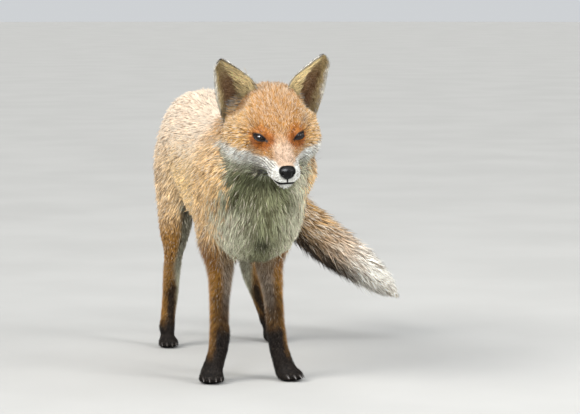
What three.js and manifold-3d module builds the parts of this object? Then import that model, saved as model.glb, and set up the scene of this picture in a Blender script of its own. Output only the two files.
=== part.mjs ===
// A red fox (Vulpes vulpes), life size, standing on four legs with its head low and its brush
// swung to its left. Millimetres, +Z up. The fox faces -Y and its left side is +X.
// Sizes are those of the coat's outer surface.
//
// The body is one smooth field made of lofts (sections along an axis) and ellipsoids, joined with
// soft blends. Each named part samples that field ring by ring along its own axis, and flat cuts
// part it from its neighbours.

import * as THREE from 'three';
import { mergeVertices } from 'three/addons/utils/BufferGeometryUtils.js';
import Module from 'manifold-3d';

const wasm = await Module();
wasm.setup();

// ---------------------------------------------------------------- driving dimensions

const GAP = 0.3; // between neighbouring parts
const FAR = 900; // beyond the whole animal

const EYE_MIDDLE = [11, -145, 392]; // the point between the two eyes
const HEAD_PITCH = 23; // degrees, nose down
const HEAD_ROLL = 2.3; // degrees, left ear up
const HEAD_YAW = -1; // degrees, towards its right
const EYE = { spacing: 53, level: 0, radius: 9.5, proud: 3.4, glance: 26 };
const NOSE = { ahead: 72, level: -22, half: 12, depth: 10.5, height: 10, taper: 0.3 };
const NOSTRIL = { side: 0.55, level: -0.1, width: 0.2, tall: 0.245, deep: 0.2 }; // shares of the nose's size
const NECK_PLANE = -72; // behind the eyes, along the head's axis
const THROAT_PLANE = -63; // below the eyes
const MUZZLE_PLANE = 24; // ahead of the eyes
const MOUTH = { hinge: 6, level: -43, rise: -3 }; // where the lower jaw begins, and the slope of the lips

const BREAST_PLANE = -6; // y of the cut between breast and chest
const THROAT_LEVEL = 296; // height of the cut between neck and breast, where it meets the chest
const LOIN_PLANES = [128, 262]; // y of the cuts across the trunk
const TAIL_PLANE = 466; // y of the cut at the tail's root
const ELBOW = { level: 226, rear: 108 };
const KEEL_HALF = 13; // half-width of the brisket between the forelegs
const HIP_CUT = { x: 52, z: 296, lean: 56, front: 298 }; // the haunch leaves the rump on a leaning plane
const HAUNCH_TOP = 356;
const GROIN_LEVEL = 235;
const GASKIN_LEVEL = 152;
const WRIST_LEVEL = 50;
const ANKLE_LEVEL = 42;
const BRUSH_CUTS = [0.3, 0.72]; // along the tail, from 0 at its root to 1 at its tip

// The trunk's outline from the side (top, bottom) and its half-width, at stations along y.
const TRUNK = [
  { at: -62, top: 352, bottom: 250, half: 50 },
  { at: -25, top: 396, bottom: 214, half: 66 },
  { at: 30, top: 420, bottom: 203, half: 75 },
  { at: 100, top: 420, bottom: 205, half: 77 },
  { at: 180, top: 424, bottom: 214, half: 79 },
  { at: 260, top: 434, bottom: 240, half: 78 },
  { at: 330, top: 443, bottom: 268, half: 77 },
  { at: 390, top: 437, bottom: 292, half: 68 },
  { at: 430, top: 415, bottom: 310, half: 50 },
];

// The skull with its coat, along the head's axis: 0 between the eyes, positive towards the nose.
const SKULL = [
  { at: -84, top: 46, bottom: -54, half: 61 },
  { at: -60, top: 52, bottom: -62, half: 67 },
  { at: -36, top: 48, bottom: -65, half: 64 },
  { at: -14, top: 35, bottom: -61, half: 51 },
  { at: 4, top: 20, bottom: -57, half: 37 },
  { at: 22, top: 5, bottom: -54, half: 27 },
  { at: 46, top: -3, bottom: -53, half: 20.5 },
  { at: 66, top: -9, bottom: -50, half: 15.5 },
];

// Rounded masses laid over the lofts: centre, radii and turn in degrees. Of a pair, the left one.
const FACE = {
  cheekRuff: { centre: [45, 40, -27], radii: [33, 32, 36], turn: [0, 0, 18] },
  brow: { centre: [30, 10, 10], radii: [12, 15, 8], turn: [0, 20, 0] },
  whiskerPad: { centre: [11, -50, -33], radii: [12, 20, 10], turn: [0, 0, 0] },
  upperLip: { centre: [0, -60, -27], radii: [15, 17.5, 13], turn: [0, 0, 0] },
  chin: { centre: [0, -52, -44], radii: [12.5, 18, 9], turn: [0, 0, 0] },
};
const BODY = {
  ruff: { centre: [7, -38, 330], radii: [90, 54, 58], turn: [0, 0, 0] },
  breast: { centre: [2, -32, 261], radii: [72, 48, 69], turn: [0, 0, 0] },
  shoulder: { centre: [51, 28, 288], radii: [29, 52, 84], turn: [12, 0, 0] },
  elbow: { centre: [45, 76, 226], radii: [20, 26, 34], turn: [0, 0, 0] },
  haunch: { centre: [46, 376, 308], radii: [34, 68, 84], turn: [-14, 0, 0] },
};
const NECK = { from: [9, -78, 399], to: [0, 34, 338], radiusFrom: 62, radiusTo: 79 };

// Each leg, in level sections: its centre and its half-width and half-depth.
const LEGS = {
  fore_right: [
    { at: 232, x: -42, y: 52, wide: 25, deep: 36 },
    { at: 187, x: -37, y: 55, wide: 21, deep: 28 },
    { at: 157, x: -38, y: 49, wide: 18, deep: 22.5 },
    { at: 117, x: -41, y: 43, wide: 15.5, deep: 18.5 },
    { at: 86, x: -41.5, y: 40, wide: 15, deep: 16.5 },
    { at: 70, x: -41, y: 39, wide: 16.8, deep: 18 },
    { at: 44, x: -45, y: 36, wide: 15.2, deep: 15.5 },
    { at: 24, x: -52, y: 34, wide: 14.8, deep: 15 },
  ],
  fore_left: [
    { at: 232, x: 44, y: 52, wide: 25, deep: 36 },
    { at: 187, x: 40, y: 55, wide: 21, deep: 28 },
    { at: 157, x: 42.5, y: 49, wide: 18, deep: 22.5 },
    { at: 117, x: 46, y: 43, wide: 14.8, deep: 18.5 },
    { at: 86, x: 47.5, y: 40, wide: 14.6, deep: 16.5 },
    { at: 70, x: 49, y: 39, wide: 15.8, deep: 18 },
    { at: 44, x: 53, y: 36, wide: 15.4, deep: 15.5 },
    { at: 24, x: 59, y: 34, wide: 15.4, deep: 15 },
  ],
  hind_right: [
    { at: 335, x: -43, y: 384, wide: 35, deep: 60 },
    { at: 285, x: -46, y: 374, wide: 34, deep: 68 },
    { at: 245, x: -48, y: 366, wide: 31, deep: 61 },
    { at: 208, x: -50, y: 370, wide: 27, deep: 47 },
    { at: 178, x: -47.5, y: 390, wide: 20, deep: 37 },
    { at: 152, x: -46, y: 411, wide: 14.5, deep: 29 },
    { at: 126, x: -45, y: 430, wide: 13.9, deep: 25 },
    { at: 105, x: -45, y: 437, wide: 13.8, deep: 20 },
    { at: 85, x: -46.5, y: 437, wide: 13.6, deep: 17 },
    { at: 55, x: -51, y: 433, wide: 12.6, deep: 15 },
    { at: 28, x: -54, y: 430, wide: 13.5, deep: 15.5 },
  ],
  hind_left: [
    { at: 335, x: 43, y: 384, wide: 35, deep: 60 },
    { at: 285, x: 48, y: 374, wide: 34, deep: 68 },
    { at: 245, x: 54, y: 368, wide: 31, deep: 61 },
    { at: 208, x: 63, y: 376, wide: 27, deep: 47 },
    { at: 178, x: 74, y: 397, wide: 20, deep: 37 },
    { at: 152, x: 84, y: 420, wide: 14.5, deep: 29 },
    { at: 126, x: 91, y: 441, wide: 13.9, deep: 25 },
    { at: 105, x: 99, y: 449, wide: 13.8, deep: 20 },
    { at: 85, x: 108, y: 451, wide: 13.6, deep: 17 },
    { at: 55, x: 119, y: 452, wide: 12.6, deep: 15 },
    { at: 28, x: 129, y: 452, wide: 13.5, deep: 15.5 },
  ],
};

// Where each paw stands, how far it turns out, and its size against a forepaw.
const PAWS = {
  forepaw_right: { leg: 'fore_right', x: -57, y: 30, turn: 6, size: 1, top: WRIST_LEVEL },
  forepaw_left: { leg: 'fore_left', x: 64, y: 28, turn: 18, size: 1, top: WRIST_LEVEL },
  hindpaw_right: { leg: 'hind_right', x: -54, y: 420, turn: 4, size: 0.88, top: ANKLE_LEVEL },
  hindpaw_left: { leg: 'hind_left', x: 133, y: 442, turn: 16, size: 0.88, top: ANKLE_LEVEL },
};
const TOES = [
  { side: -13.5, ahead: 10 },
  { side: -5, ahead: 17 },
  { side: 5, ahead: 17 },
  { side: 13.5, ahead: 10 },
];
const TOE = { half: 6.2, depth: 14, height: 10.5, level: 8 };
const TOE_TILT = 8;
const PAW_PAD = { centre: [0, 5, 13], radii: [15.5, 20, 15.5], turn: [0, 0, 0] };
const CLAW = { length: 11, radius: 2, level: 9.5, droop: 26, root: 10 };

// The brush: points on its centre line and its radius at each, from root to tip.
const BRUSH = [
  { x: 0, y: 436, z: 388, radius: 30 },
  { x: 24, y: 482, z: 364, radius: 28 },
  { x: 78, y: 508, z: 314, radius: 35 },
  { x: 146, y: 504, z: 250, radius: 41 },
  { x: 218, y: 492, z: 184, radius: 43 },
  { x: 256, y: 480, z: 153, radius: 42 },
  { x: 285, y: 468, z: 131, radius: 38 },
  { x: 309, y: 457, z: 112, radius: 31 },
  { x: 328, y: 446, z: 96, radius: 22.5 },
  { x: 341, y: 437, z: 84, radius: 13 },
  { x: 352, y: 426, z: 73, radius: 2.5 },
];

// An ear's two rims from its root to its tip: side, up and back from the point between the eyes.
const EAR_INNER = [
  [18, 26, 58],
  [24, 53, 58],
  [35, 69, 60],
  [61, 89, 64],
  [74, 97, 66],
];
const EAR_OUTER = [
  [68, -14, 72],
  [80, 24, 74],
  [85, 56, 73],
  [87, 80, 69],
  [81, 95, 66],
];
const EAR = { cup: 27, wall: 4.2, rows: 8, columns: 7 };

const COLOURS = {
  russet: 0xb5713a,
  buff: 0xc49a72,
  white: 0xd9d2c6,
  soot: 0x2c2320,
  cream: 0xe3dccd,
  leather: 0x141214,
  eye: 0x3b1d0b,
};

// ---------------------------------------------------------------- small tools

const rad = THREE.MathUtils.degToRad;
const vec = (list) => new THREE.Vector3(...list);
const shiftTo = (x, y, z) => new THREE.Matrix4().makeTranslation(x, y, z);
const turnX = (degrees) => new THREE.Matrix4().makeRotationX(rad(degrees));
const turnY = (degrees) => new THREE.Matrix4().makeRotationY(rad(degrees));
const turnZ = (degrees) => new THREE.Matrix4().makeRotationZ(rad(degrees));

const evenly = (from, to, count) =>
  Array.from({ length: count }, (_, i) => from + ((to - from) * i) / (count - 1));

// One value of a list of stations at t, on a smooth curve that never overshoots its stations.
function valueAt(stations, key, t) {
  const last = stations.length - 1;
  if (t <= stations[0].at) return stations[0][key];
  if (t >= stations[last].at) return stations[last][key];
  let i = 0;
  while (stations[i + 1].at < t) i++;
  const slope = (k) => (stations[k + 1][key] - stations[k][key]) / (stations[k + 1].at - stations[k].at);
  const tangent = (k) => {
    if (k === 0 || k === last) return slope(Math.min(k, last - 1));
    const [before, after] = [slope(k - 1), slope(k)];
    return before * after <= 0 ? 0 : (2 * before * after) / (before + after);
  };
  const width = stations[i + 1].at - stations[i].at;
  const s = (t - stations[i].at) / width;
  const [from, to] = [stations[i][key], stations[i + 1][key]];
  const ease = s * s * (3 - 2 * s);
  return from + (to - from) * ease + s * (1 - s) * width * ((1 - s) * tangent(i) - s * tangent(i + 1));
}

// ---------------------------------------------------------------- the field: negative inside the body

// The distance to an oval in its own plane; a squareness of 2 is an ellipse.
function oval(a, b, halfA, halfB, squareness) {
  const reach = (Math.abs(a / halfA) ** squareness + Math.abs(b / halfB) ** squareness) ** (1 / squareness);
  return reach < 1e-6 ? -Math.min(halfA, halfB) : Math.hypot(a, b) * (1 - 1 / reach);
}

// Oval sections along one axis, closed by a dome of the given height at each end.
function loft(stations, section, [domeLow, domeHigh], squareness = 2) {
  const [low, high] = [stations[0].at, stations[stations.length - 1].at];
  return (p) => {
    const { t, a, b, halfA, halfB } = section(p);
    const dome = t < low ? domeLow : domeHigh;
    const past = Math.max(low - t, t - high, 0) / dome;
    if (past >= 1) return Math.hypot((past - 1) * dome, a, b);
    const shrink = Math.sqrt(1 - past * past);
    return oval(a, b, halfA * shrink, halfB * shrink, squareness);
  };
}

// A loft whose sections stand upright across an axis: their top, bottom and half-width are given.
function uprightLoft(stations, along, domes, squareness) {
  return loft(
    stations,
    (p) => {
      const t = along(p);
      const [top, bottom] = [valueAt(stations, 'top', t), valueAt(stations, 'bottom', t)];
      const halfB = (top - bottom) / 2;
      return { t, a: p.x, b: p.z - bottom - halfB, halfA: valueAt(stations, 'half', t), halfB };
    },
    domes,
    squareness,
  );
}

function legLoft(stations) {
  return loft(
    stations,
    ({ x, y, z }) => ({
      t: z,
      a: x - valueAt(stations, 'x', z),
      b: y - valueAt(stations, 'y', z),
      halfA: valueAt(stations, 'wide', z),
      halfB: valueAt(stations, 'deep', z),
    }),
    [8, 24],
  );
}

function ellipsoid({ centre, radii, turn }) {
  const inverse = new THREE.Matrix4()
    .makeRotationFromEuler(new THREE.Euler(...turn.map(rad)))
    .setPosition(vec(centre))
    .invert();
  const q = new THREE.Vector3();
  return (p) => {
    q.copy(p).applyMatrix4(inverse);
    const reach = Math.hypot(q.x / radii[0], q.y / radii[1], q.z / radii[2]);
    const steep = Math.hypot(q.x / radii[0] ** 2, q.y / radii[1] ** 2, q.z / radii[2] ** 2);
    return steep < 1e-9 ? -Math.min(...radii) : (reach * (reach - 1)) / steep;
  };
}

// A limb between two points, its radius changing evenly.
function limb(from, to, radiusFrom, radiusTo) {
  const along = to.clone().sub(from);
  const q = new THREE.Vector3();
  return (p) => {
    q.copy(p).sub(from);
    const s = THREE.MathUtils.clamp(q.dot(along) / along.lengthSq(), 0, 1);
    return q.addScaledVector(along, -s).length() - THREE.MathUtils.lerp(radiusFrom, radiusTo, s);
  };
}

function blend(soft, ...masses) {
  return (p) => {
    let d = masses[0](p);
    for (const mass of masses.slice(1)) {
      const e = mass(p);
      const near = Math.max(soft - Math.abs(d - e), 0);
      d = Math.min(d, e) - (near * near) / (4 * soft);
    }
    return d;
  };
}

// A mass written in a frame of its own.
function placed(frame, mass) {
  const inverse = frame.clone().invert();
  const q = new THREE.Vector3();
  return (p) => mass(q.copy(p).applyMatrix4(inverse));
}

const bothSides = (make) => [-1, 1].map(make);

// The same mass on the animal's right (-1) or left (1) side.
const mirrored = ({ centre, radii, turn }, side) =>
  ellipsoid({
    centre: [side * centre[0], centre[1], centre[2]],
    radii,
    turn: [turn[0], side * turn[1], side * turn[2]],
  });
const pairOf = (mass) => bothSides((side) => mirrored(mass, side));

// The head's own frame: x to its left, -y along the muzzle, z up, origin between the eyes.
const headFrame = shiftTo(...EYE_MIDDLE)
  .multiply(turnZ(HEAD_YAW))
  .multiply(turnX(HEAD_PITCH))
  .multiply(turnY(-HEAD_ROLL));
const onHead = (side, ahead, up) => new THREE.Vector3(side, -ahead, up).applyMatrix4(headFrame);

const cranium = blend(
  14,
  uprightLoft(SKULL, (q) => -q.y, [30, 15]),
  ...pairOf(FACE.cheekRuff),
  ...pairOf(FACE.brow),
);
const snout = blend(6, ellipsoid(FACE.upperLip), ellipsoid(FACE.chin), ...pairOf(FACE.whiskerPad));
const head = placed(headFrame, blend(9, cranium, snout));

const neck = blend(
  30,
  limb(vec(NECK.from), vec(NECK.to), NECK.radiusFrom, NECK.radiusTo),
  ellipsoid(BODY.ruff),
  ellipsoid(BODY.breast),
);
const trunk = blend(
  26,
  uprightLoft(TRUNK, (p) => p.y, [38, 30], 2.3),
  neck,
  ...pairOf(BODY.shoulder),
  ...pairOf(BODY.elbow),
  ...pairOf(BODY.haunch),
);

const rising = (stations) => [...stations].reverse();
const legFields = Object.fromEntries(
  Object.entries(LEGS).map(([name, stations]) => [name, legLoft(rising(stations))]),
);

const BRUSH_LIMBS = 20;
const brushCurve = new THREE.CatmullRomCurve3(BRUSH.map(({ x, y, z }) => vec([x, y, z])));
const brushStations = BRUSH.map(({ radius }, i) => ({ at: i / (BRUSH.length - 1), radius }));
const brushNodes = evenly(0, 1, BRUSH_LIMBS + 1).map((t) => ({
  place: brushCurve.getPoint(t),
  radius: valueAt(brushStations, 'radius', t),
}));
const brushLimbs = brushNodes
  .slice(1)
  .map((node, i) => limb(brushNodes[i].place, node.place, brushNodes[i].radius, node.radius));
const brush = (p) => Math.min(...brushLimbs.map((piece) => piece(p)));

const withTail = blend(20, trunk, brush);
const withLegs = blend(20, trunk, ...Object.values(legFields));
const withHead = blend(18, trunk, legFields.fore_left, legFields.fore_right, head);
const wholeTrunk = blend(20, withTail, ...Object.values(legFields));
const rumpField = blend(
  20,
  withTail,
  ...[legFields.hind_left, legFields.hind_right].map((leg) => (p) => Math.max(leg(p), GROIN_LEVEL - p.z)),
);

// ---------------------------------------------------------------- solids

// A closed surface through rings of equally many points. Thin rings are closed by a strip across them.
function skinOver(rings, thin = false) {
  const spokes = rings[0].length;
  const points = rings.flat();
  const index = [];
  for (let r = 0; r + 1 < rings.length; r++)
    for (let s = 0; s < spokes; s++) {
      const next = (s + 1) % spokes;
      const [a, b] = [r * spokes + s, r * spokes + next];
      index.push(a, b, b + spokes, a, b + spokes, a + spokes);
    }
  const end = (rings.length - 1) * spokes;
  if (thin) {
    for (let s = 0; s + 1 < spokes / 2; s++) {
      const [a, b, c, d] = [s, s + 1, spokes - 2 - s, spokes - 1 - s];
      index.push(a, c, b, a, d, c, end + a, end + b, end + c, end + a, end + c, end + d);
    }
  } else {
    const middle = (ring) => ring.reduce((sum, p) => sum.add(p), new THREE.Vector3()).divideScalar(spokes);
    points.push(middle(rings[0]), middle(rings[rings.length - 1]));
    for (let s = 0; s < spokes; s++) {
      const next = (s + 1) % spokes;
      index.push(points.length - 2, next, s, points.length - 1, end + s, end + next);
    }
  }
  const geometry = new THREE.BufferGeometry().setFromPoints(points);
  geometry.setIndex(index);
  return geometry;
}

const STRIDE = 3; // step of the search outwards
const HALVINGS = 16;
const LEAST_RADIUS = 0.5;

// Walks out from a centre to where the field first turns positive.
function surfacePoint(field, centre, direction, furthest) {
  const p = new THREE.Vector3();
  const outside = (r) => field(p.copy(centre).addScaledVector(direction, r)) > 0;
  let inner = 0;
  let outer = STRIDE;
  while (outer < furthest && !outside(outer)) {
    inner = outer;
    outer += STRIDE;
  }
  for (let i = 0; i < HALVINGS; i++) {
    const half = (inner + outer) / 2;
    if (outside(half)) outer = half;
    else inner = half;
  }
  return centre.clone().addScaledVector(direction, Math.max(inner, LEAST_RADIUS));
}

// The field's surface in rings: each frame has a centre and the two directions of its plane.
// A ring that leans is a cone instead, to round off an end.
function ringsOf(field, frames, spokes, furthest) {
  return frames.map(({ centre, across, upward, lean }) =>
    Array.from({ length: spokes }, (_, s) => {
      const angle = (s / spokes) * 2 * Math.PI;
      const direction = across.clone().multiplyScalar(Math.cos(angle));
      direction.addScaledVector(upward, Math.sin(angle));
      if (lean) direction.add(lean).normalize();
      return surfacePoint(field, centre, direction, furthest);
    }),
  );
}

function solidFrom(geometry) {
  const bare = geometry.clone();
  bare.deleteAttribute('normal');
  bare.deleteAttribute('uv');
  const merged = mergeVertices(bare, 1e-3);
  const corners = new Uint32Array(merged.index.array);
  const build = () =>
    new wasm.Manifold(
      new wasm.Mesh({
        numProp: 3,
        vertProperties: new Float32Array(merged.attributes.position.array),
        triVerts: corners,
      }),
    );
  const solid = build();
  if (solid.volume() > 0) return solid;
  for (let i = 0; i < corners.length; i += 3) {
    [corners[i + 1], corners[i + 2]] = [corners[i + 2], corners[i + 1]];
  }
  return build();
}

function geometryFrom(solid) {
  const mesh = solid.getMesh();
  const geometry = new THREE.BufferGeometry();
  geometry.setAttribute('position', new THREE.BufferAttribute(mesh.vertProperties, 3));
  geometry.setIndex(new THREE.BufferAttribute(mesh.triVerts, 1));
  return geometry;
}

// The same solid with its surface moved outwards by the gap, to cut a neighbour with.
function grown(solid) {
  const geometry = geometryFrom(solid);
  geometry.computeVertexNormals();
  const { position, normal } = geometry.attributes;
  const p = new THREE.Vector3();
  const n = new THREE.Vector3();
  for (let i = 0; i < position.count; i++) {
    p.fromBufferAttribute(position, i).addScaledVector(n.fromBufferAttribute(normal, i), GAP);
    position.setXYZ(i, ...p);
  }
  return solidFrom(geometry);
}

// A block between two corners, in the body's frame or in another.
function block(low, high, frame = new THREE.Matrix4()) {
  const size = vec(high).sub(vec(low));
  const middle = vec(low).addScaledVector(size, 0.5);
  const geometry = new THREE.BoxGeometry(...size).translate(...middle);
  return solidFrom(geometry.applyMatrix4(frame));
}

const below = (level, frame) => block([-FAR, -FAR, -FAR], [FAR, FAR, level], frame);
const above = (level, frame) => block([-FAR, -FAR, level], [FAR, FAR, FAR], frame);
const between = (from, to, frame) => block([-FAR, from + GAP / 2, -FAR], [FAR, to - GAP / 2, FAR], frame);
const carve = (solid, ...cutters) => cutters.reduce((left, cutter) => left.subtract(cutter), solid);
const common = (...solids) => solids.reduce((a, b) => a.intersect(b));
const sampled = (field, frames, spokes, furthest) =>
  solidFrom(skinOver(ringsOf(field, frames, spokes, furthest)));
const largest = (solid) => solid.decompose().sort((a, b) => b.volume() - a.volume())[0];

const parts = {};

// ---------------------------------------------------------------- head

const headAxis = (side, ahead, up) => onHead(side, ahead, up).sub(onHead(0, 0, 0));
const headFrames = (from, to, count, levelFrom, levelTo) => {
  const levels = evenly(levelFrom, levelTo, count);
  return evenly(from, to, count).map((ahead, i) => ({
    centre: onHead(0, ahead, levels[i]),
    across: headAxis(1, 0, 0),
    upward: headAxis(0, 0, 1),
  }));
};

// An eyeball, set so far into the face that only its front stands proud.
function eyeball(side) {
  const inside = onHead((side * EYE.spacing) / 2 - side * 12, -25, EYE.level);
  const outward = headAxis(side * Math.sin(rad(EYE.glance)), Math.cos(rad(EYE.glance)), 0);
  const surface = surfacePoint(head, inside, outward, 60);
  const centre = surface.addScaledVector(outward, EYE.proud - EYE.radius);
  return solidFrom(new THREE.SphereGeometry(EYE.radius, 12, 7).translate(...centre));
}

// The nose leather: a rounded wedge, narrower below, with a nostril at each side.
function noseLeather() {
  const geometry = new THREE.SphereGeometry(1, 14, 10);
  const { position } = geometry.attributes;
  const p = new THREE.Vector3();
  for (let i = 0; i < position.count; i++) {
    p.fromBufferAttribute(position, i);
    const narrow = 1 - NOSE.taper * Math.max(0, -p.z);
    const across = (Math.abs(p.x) - NOSTRIL.side) / NOSTRIL.width;
    const upward = (p.z - NOSTRIL.level) / NOSTRIL.tall;
    const dent = p.y < 0 ? NOSTRIL.deep * Math.exp(-(across ** 2) - upward ** 2) : 0;
    position.setXYZ(i, p.x * narrow * NOSE.half, (p.y + dent) * NOSE.depth, p.z * NOSE.height);
  }
  return solidFrom(geometry.translate(0, -NOSE.ahead, NOSE.level).applyMatrix4(headFrame));
}

// An ear: a thin cup between its two rims, open to the front.
function ear(side) {
  const rim = (list) =>
    new THREE.CatmullRomCurve3(list.map(([x, up, back]) => new THREE.Vector3(side * x, back, up)));
  const [inner, outer] = [rim(EAR_INNER), rim(EAR_OUTER)];
  const cup = (v, w, isBack) => {
    const arch = 1 - (2 * w - 1) ** 2;
    const wall = isBack ? EAR.wall * (0.5 + 0.5 * arch) * (1 - 0.35 * v) : 0;
    const p = inner.getPoint(v).lerp(outer.getPoint(v), w);
    p.y += EAR.cup * Math.sqrt(1 - v) * (1 - 0.15 * v) * arch + wall;
    return p;
  };
  const rings = evenly(0, 1, EAR.rows).map((v) => [
    ...evenly(0, 1, EAR.columns).map((w) => cup(v, w, false)),
    ...evenly(1, 0, EAR.columns).map((w) => cup(v, w, true)),
  ]);
  return solidFrom(skinOver(rings, true).applyMatrix4(headFrame));
}

const headSolid = sampled(withHead, headFrames(NECK_PLANE, MUZZLE_PLANE - GAP, 12, -6, -20), 24, 110);
const muzzleSolid = solidFrom(
  skinOver([
    ...ringsOf(withHead, headFrames(MUZZLE_PLANE, 70, 7, -22, -30), 18, 60),
    ...ringsOf(withHead, headFrames(74, 77, 2, -30, -30), 18, 60),
  ]),
);
const headZone = block([-FAR, -FAR, THROAT_PLANE], [FAR, -NECK_PLANE, FAR], headFrame);
// The lower jaw lies below the lips' line, from the chin back to its hinge.
const mouthFrame = headFrame
  .clone()
  .multiply(shiftTo(0, -MOUTH.hinge, MOUTH.level))
  .multiply(turnX(MOUTH.rise));
const jawZone = block([-FAR, -FAR, -FAR], [FAR, 0, 0], mouthFrame);
const jawCut = block([-FAR, -FAR, -FAR], [FAR, GAP, GAP], mouthFrame);

const eyes = { eye_right: eyeball(-1), eye_left: eyeball(1) };
const nose = noseLeather();
const noseCut = grown(nose);
parts.head = carve(headSolid.intersect(headZone), jawCut, ...Object.values(eyes).map(grown));
parts.muzzle = carve(muzzleSolid.intersect(headZone), jawCut, noseCut);
const jawFrames = headFrames(MOUTH.hinge, 68, 9, -48, -44);
parts.lower_jaw = carve(common(sampled(withHead, jawFrames, 16, 60), headZone, jawZone), noseCut);
parts.nose = nose;
parts.eye_right = eyes.eye_right;
parts.eye_left = eyes.eye_left;

// ---------------------------------------------------------------- neck and trunk

const crossFrame = (x, y, z) => ({
  centre: new THREE.Vector3(x, y, z),
  across: new THREE.Vector3(-1, 0, 0),
  upward: new THREE.Vector3(0, 0, 1),
});
const trunkMiddle = (y) => (valueAt(TRUNK, 'top', y) + valueAt(TRUNK, 'bottom', y)) / 2;

const levelFrame = (x, y, z) => ({
  centre: new THREE.Vector3(x, y, z),
  across: new THREE.Vector3(1, 0, 0),
  upward: new THREE.Vector3(0, 1, 0),
});
const frontFrames = [
  ...evenly(194, 360, 10).map((z) => levelFrame(6, -30, z)),
  ...evenly(376, 424, 4).map((z) => levelFrame(6, THREE.MathUtils.mapLinear(z, 360, 424, -30, -62), z)),
  ...[28, 50, 70].map((angle) => ({
    ...levelFrame(6, -62, 424),
    lean: new THREE.Vector3(0, 0, Math.tan(rad(angle))),
  })),
];
const frontSolid = sampled(withHead, frontFrames, 26, 110);
const neckCut = block([-FAR, -FAR, THROAT_PLANE - GAP], [FAR, -NECK_PLANE + GAP, FAR], headFrame);
const neckAndBreast = carve(common(frontSolid, between(-FAR, BREAST_PLANE)), neckCut);
parts.ear_right = carve(ear(-1), grown(headSolid), grown(frontSolid));
parts.ear_left = carve(ear(1), grown(headSolid), grown(frontSolid));
const throatFrame = shiftTo(0, BREAST_PLANE, THROAT_LEVEL).multiply(turnX(-14));
parts.neck = neckAndBreast.intersect(above(GAP / 2, throatFrame));
parts.breast = neckAndBreast.intersect(below(-GAP / 2, throatFrame));

const foreZone = (side, by) => {
  const [inside, outside] = [KEEL_HALF - by, FAR].map((x) => x * side);
  return block(
    [Math.min(inside, outside), BREAST_PLANE + GAP / 2 - by, -FAR],
    [Math.max(inside, outside), ELBOW.rear + by, ELBOW.level + by],
  );
};
// The haunch's plane leans from the groin out to the hip.
const hindZone = (side, by) => {
  const frame = shiftTo(side * HIP_CUT.x, 0, HIP_CUT.z).multiply(turnY(-side * HIP_CUT.lean));
  return block([-FAR, HIP_CUT.front - by, -FAR], [FAR, FAR, by], frame);
};

const trunkFrames = (from, to, count) =>
  evenly(from + GAP / 2, to - GAP / 2, count).map((y) => crossFrame(0, y, trunkMiddle(y)));
const croup = { y: 400, z: 370 }; // the middle of the rump's rounded end
const croupFrames = [14, 28, 42, 54, 64].map((angle) => ({
  ...crossFrame(0, croup.y, croup.z),
  lean: new THREE.Vector3(0, Math.tan(rad(angle)), 0),
}));
parts.chest = carve(
  sampled(wholeTrunk, trunkFrames(BREAST_PLANE, LOIN_PLANES[0], 7), 24, 150),
  ...bothSides((side) => foreZone(side, GAP)),
);
parts.loin = sampled(wholeTrunk, trunkFrames(...LOIN_PLANES, 6), 24, 150);
parts.rump = carve(
  sampled(rumpField, [...trunkFrames(LOIN_PLANES[1], croup.y, 7), ...croupFrames], 26, 130),
  block([-FAR, TAIL_PLANE - GAP / 2, -FAR], [FAR, FAR, FAR]),
  ...bothSides((side) => hindZone(side, GAP)),
);

// ---------------------------------------------------------------- legs

// A field closed off by two planes across y, a little beyond a part's own cuts.
const within = (field, from, to) => (p) => Math.max(field(p), from - p.y, p.y - to);

function legPiece(field, name, from, to, count, spokes) {
  const stations = rising(LEGS[name]);
  const frames = evenly(from, to, count).map((z) =>
    levelFrame(valueAt(stations, 'x', z), valueAt(stations, 'y', z), z),
  );
  return sampled(field, frames, spokes, 140);
}
const MARGIN = 5;
const foreField = within(withLegs, BREAST_PLANE - MARGIN, ELBOW.rear + MARGIN);
const hindField = within(withLegs, HIP_CUT.front - MARGIN, FAR);
const onSide = (side) =>
  side < 0 ? block([-FAR, -FAR, -FAR], [-GAP / 2, FAR, FAR]) : block([GAP / 2, -FAR, -FAR], [FAR, FAR, FAR]);

for (const [side, word] of [[-1, 'right'], [1, 'left']]) {
  const foreleg = legPiece(foreField, `fore_${word}`, ELBOW.level + 8, WRIST_LEVEL + GAP / 2, 10, 18);
  parts[`foreleg_${word}`] = foreleg.intersect(foreZone(side, 0));
  const haunch = legPiece(hindField, `hind_${word}`, HAUNCH_TOP, GASKIN_LEVEL + GAP / 2, 11, 22);
  parts[`haunch_${word}`] = common(haunch, hindZone(side, 0), onSide(side));
  const shank = [GASKIN_LEVEL - GAP / 2, ANKLE_LEVEL + GAP / 2];
  parts[`hindleg_${word}`] = legPiece(hindField, `hind_${word}`, ...shank, 8, 16);
}

// ---------------------------------------------------------------- paws

// A claw in its paw's frame, leaving the end of its toe forwards and down.
function claw({ side, ahead }) {
  const cone = new THREE.ConeGeometry(CLAW.radius, CLAW.length, 5).translate(0, CLAW.length / 2, 0);
  cone.applyMatrix4(turnX(180 + CLAW.droop));
  return cone.translate(side, -CLAW.root - ahead, CLAW.level);
}

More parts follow.
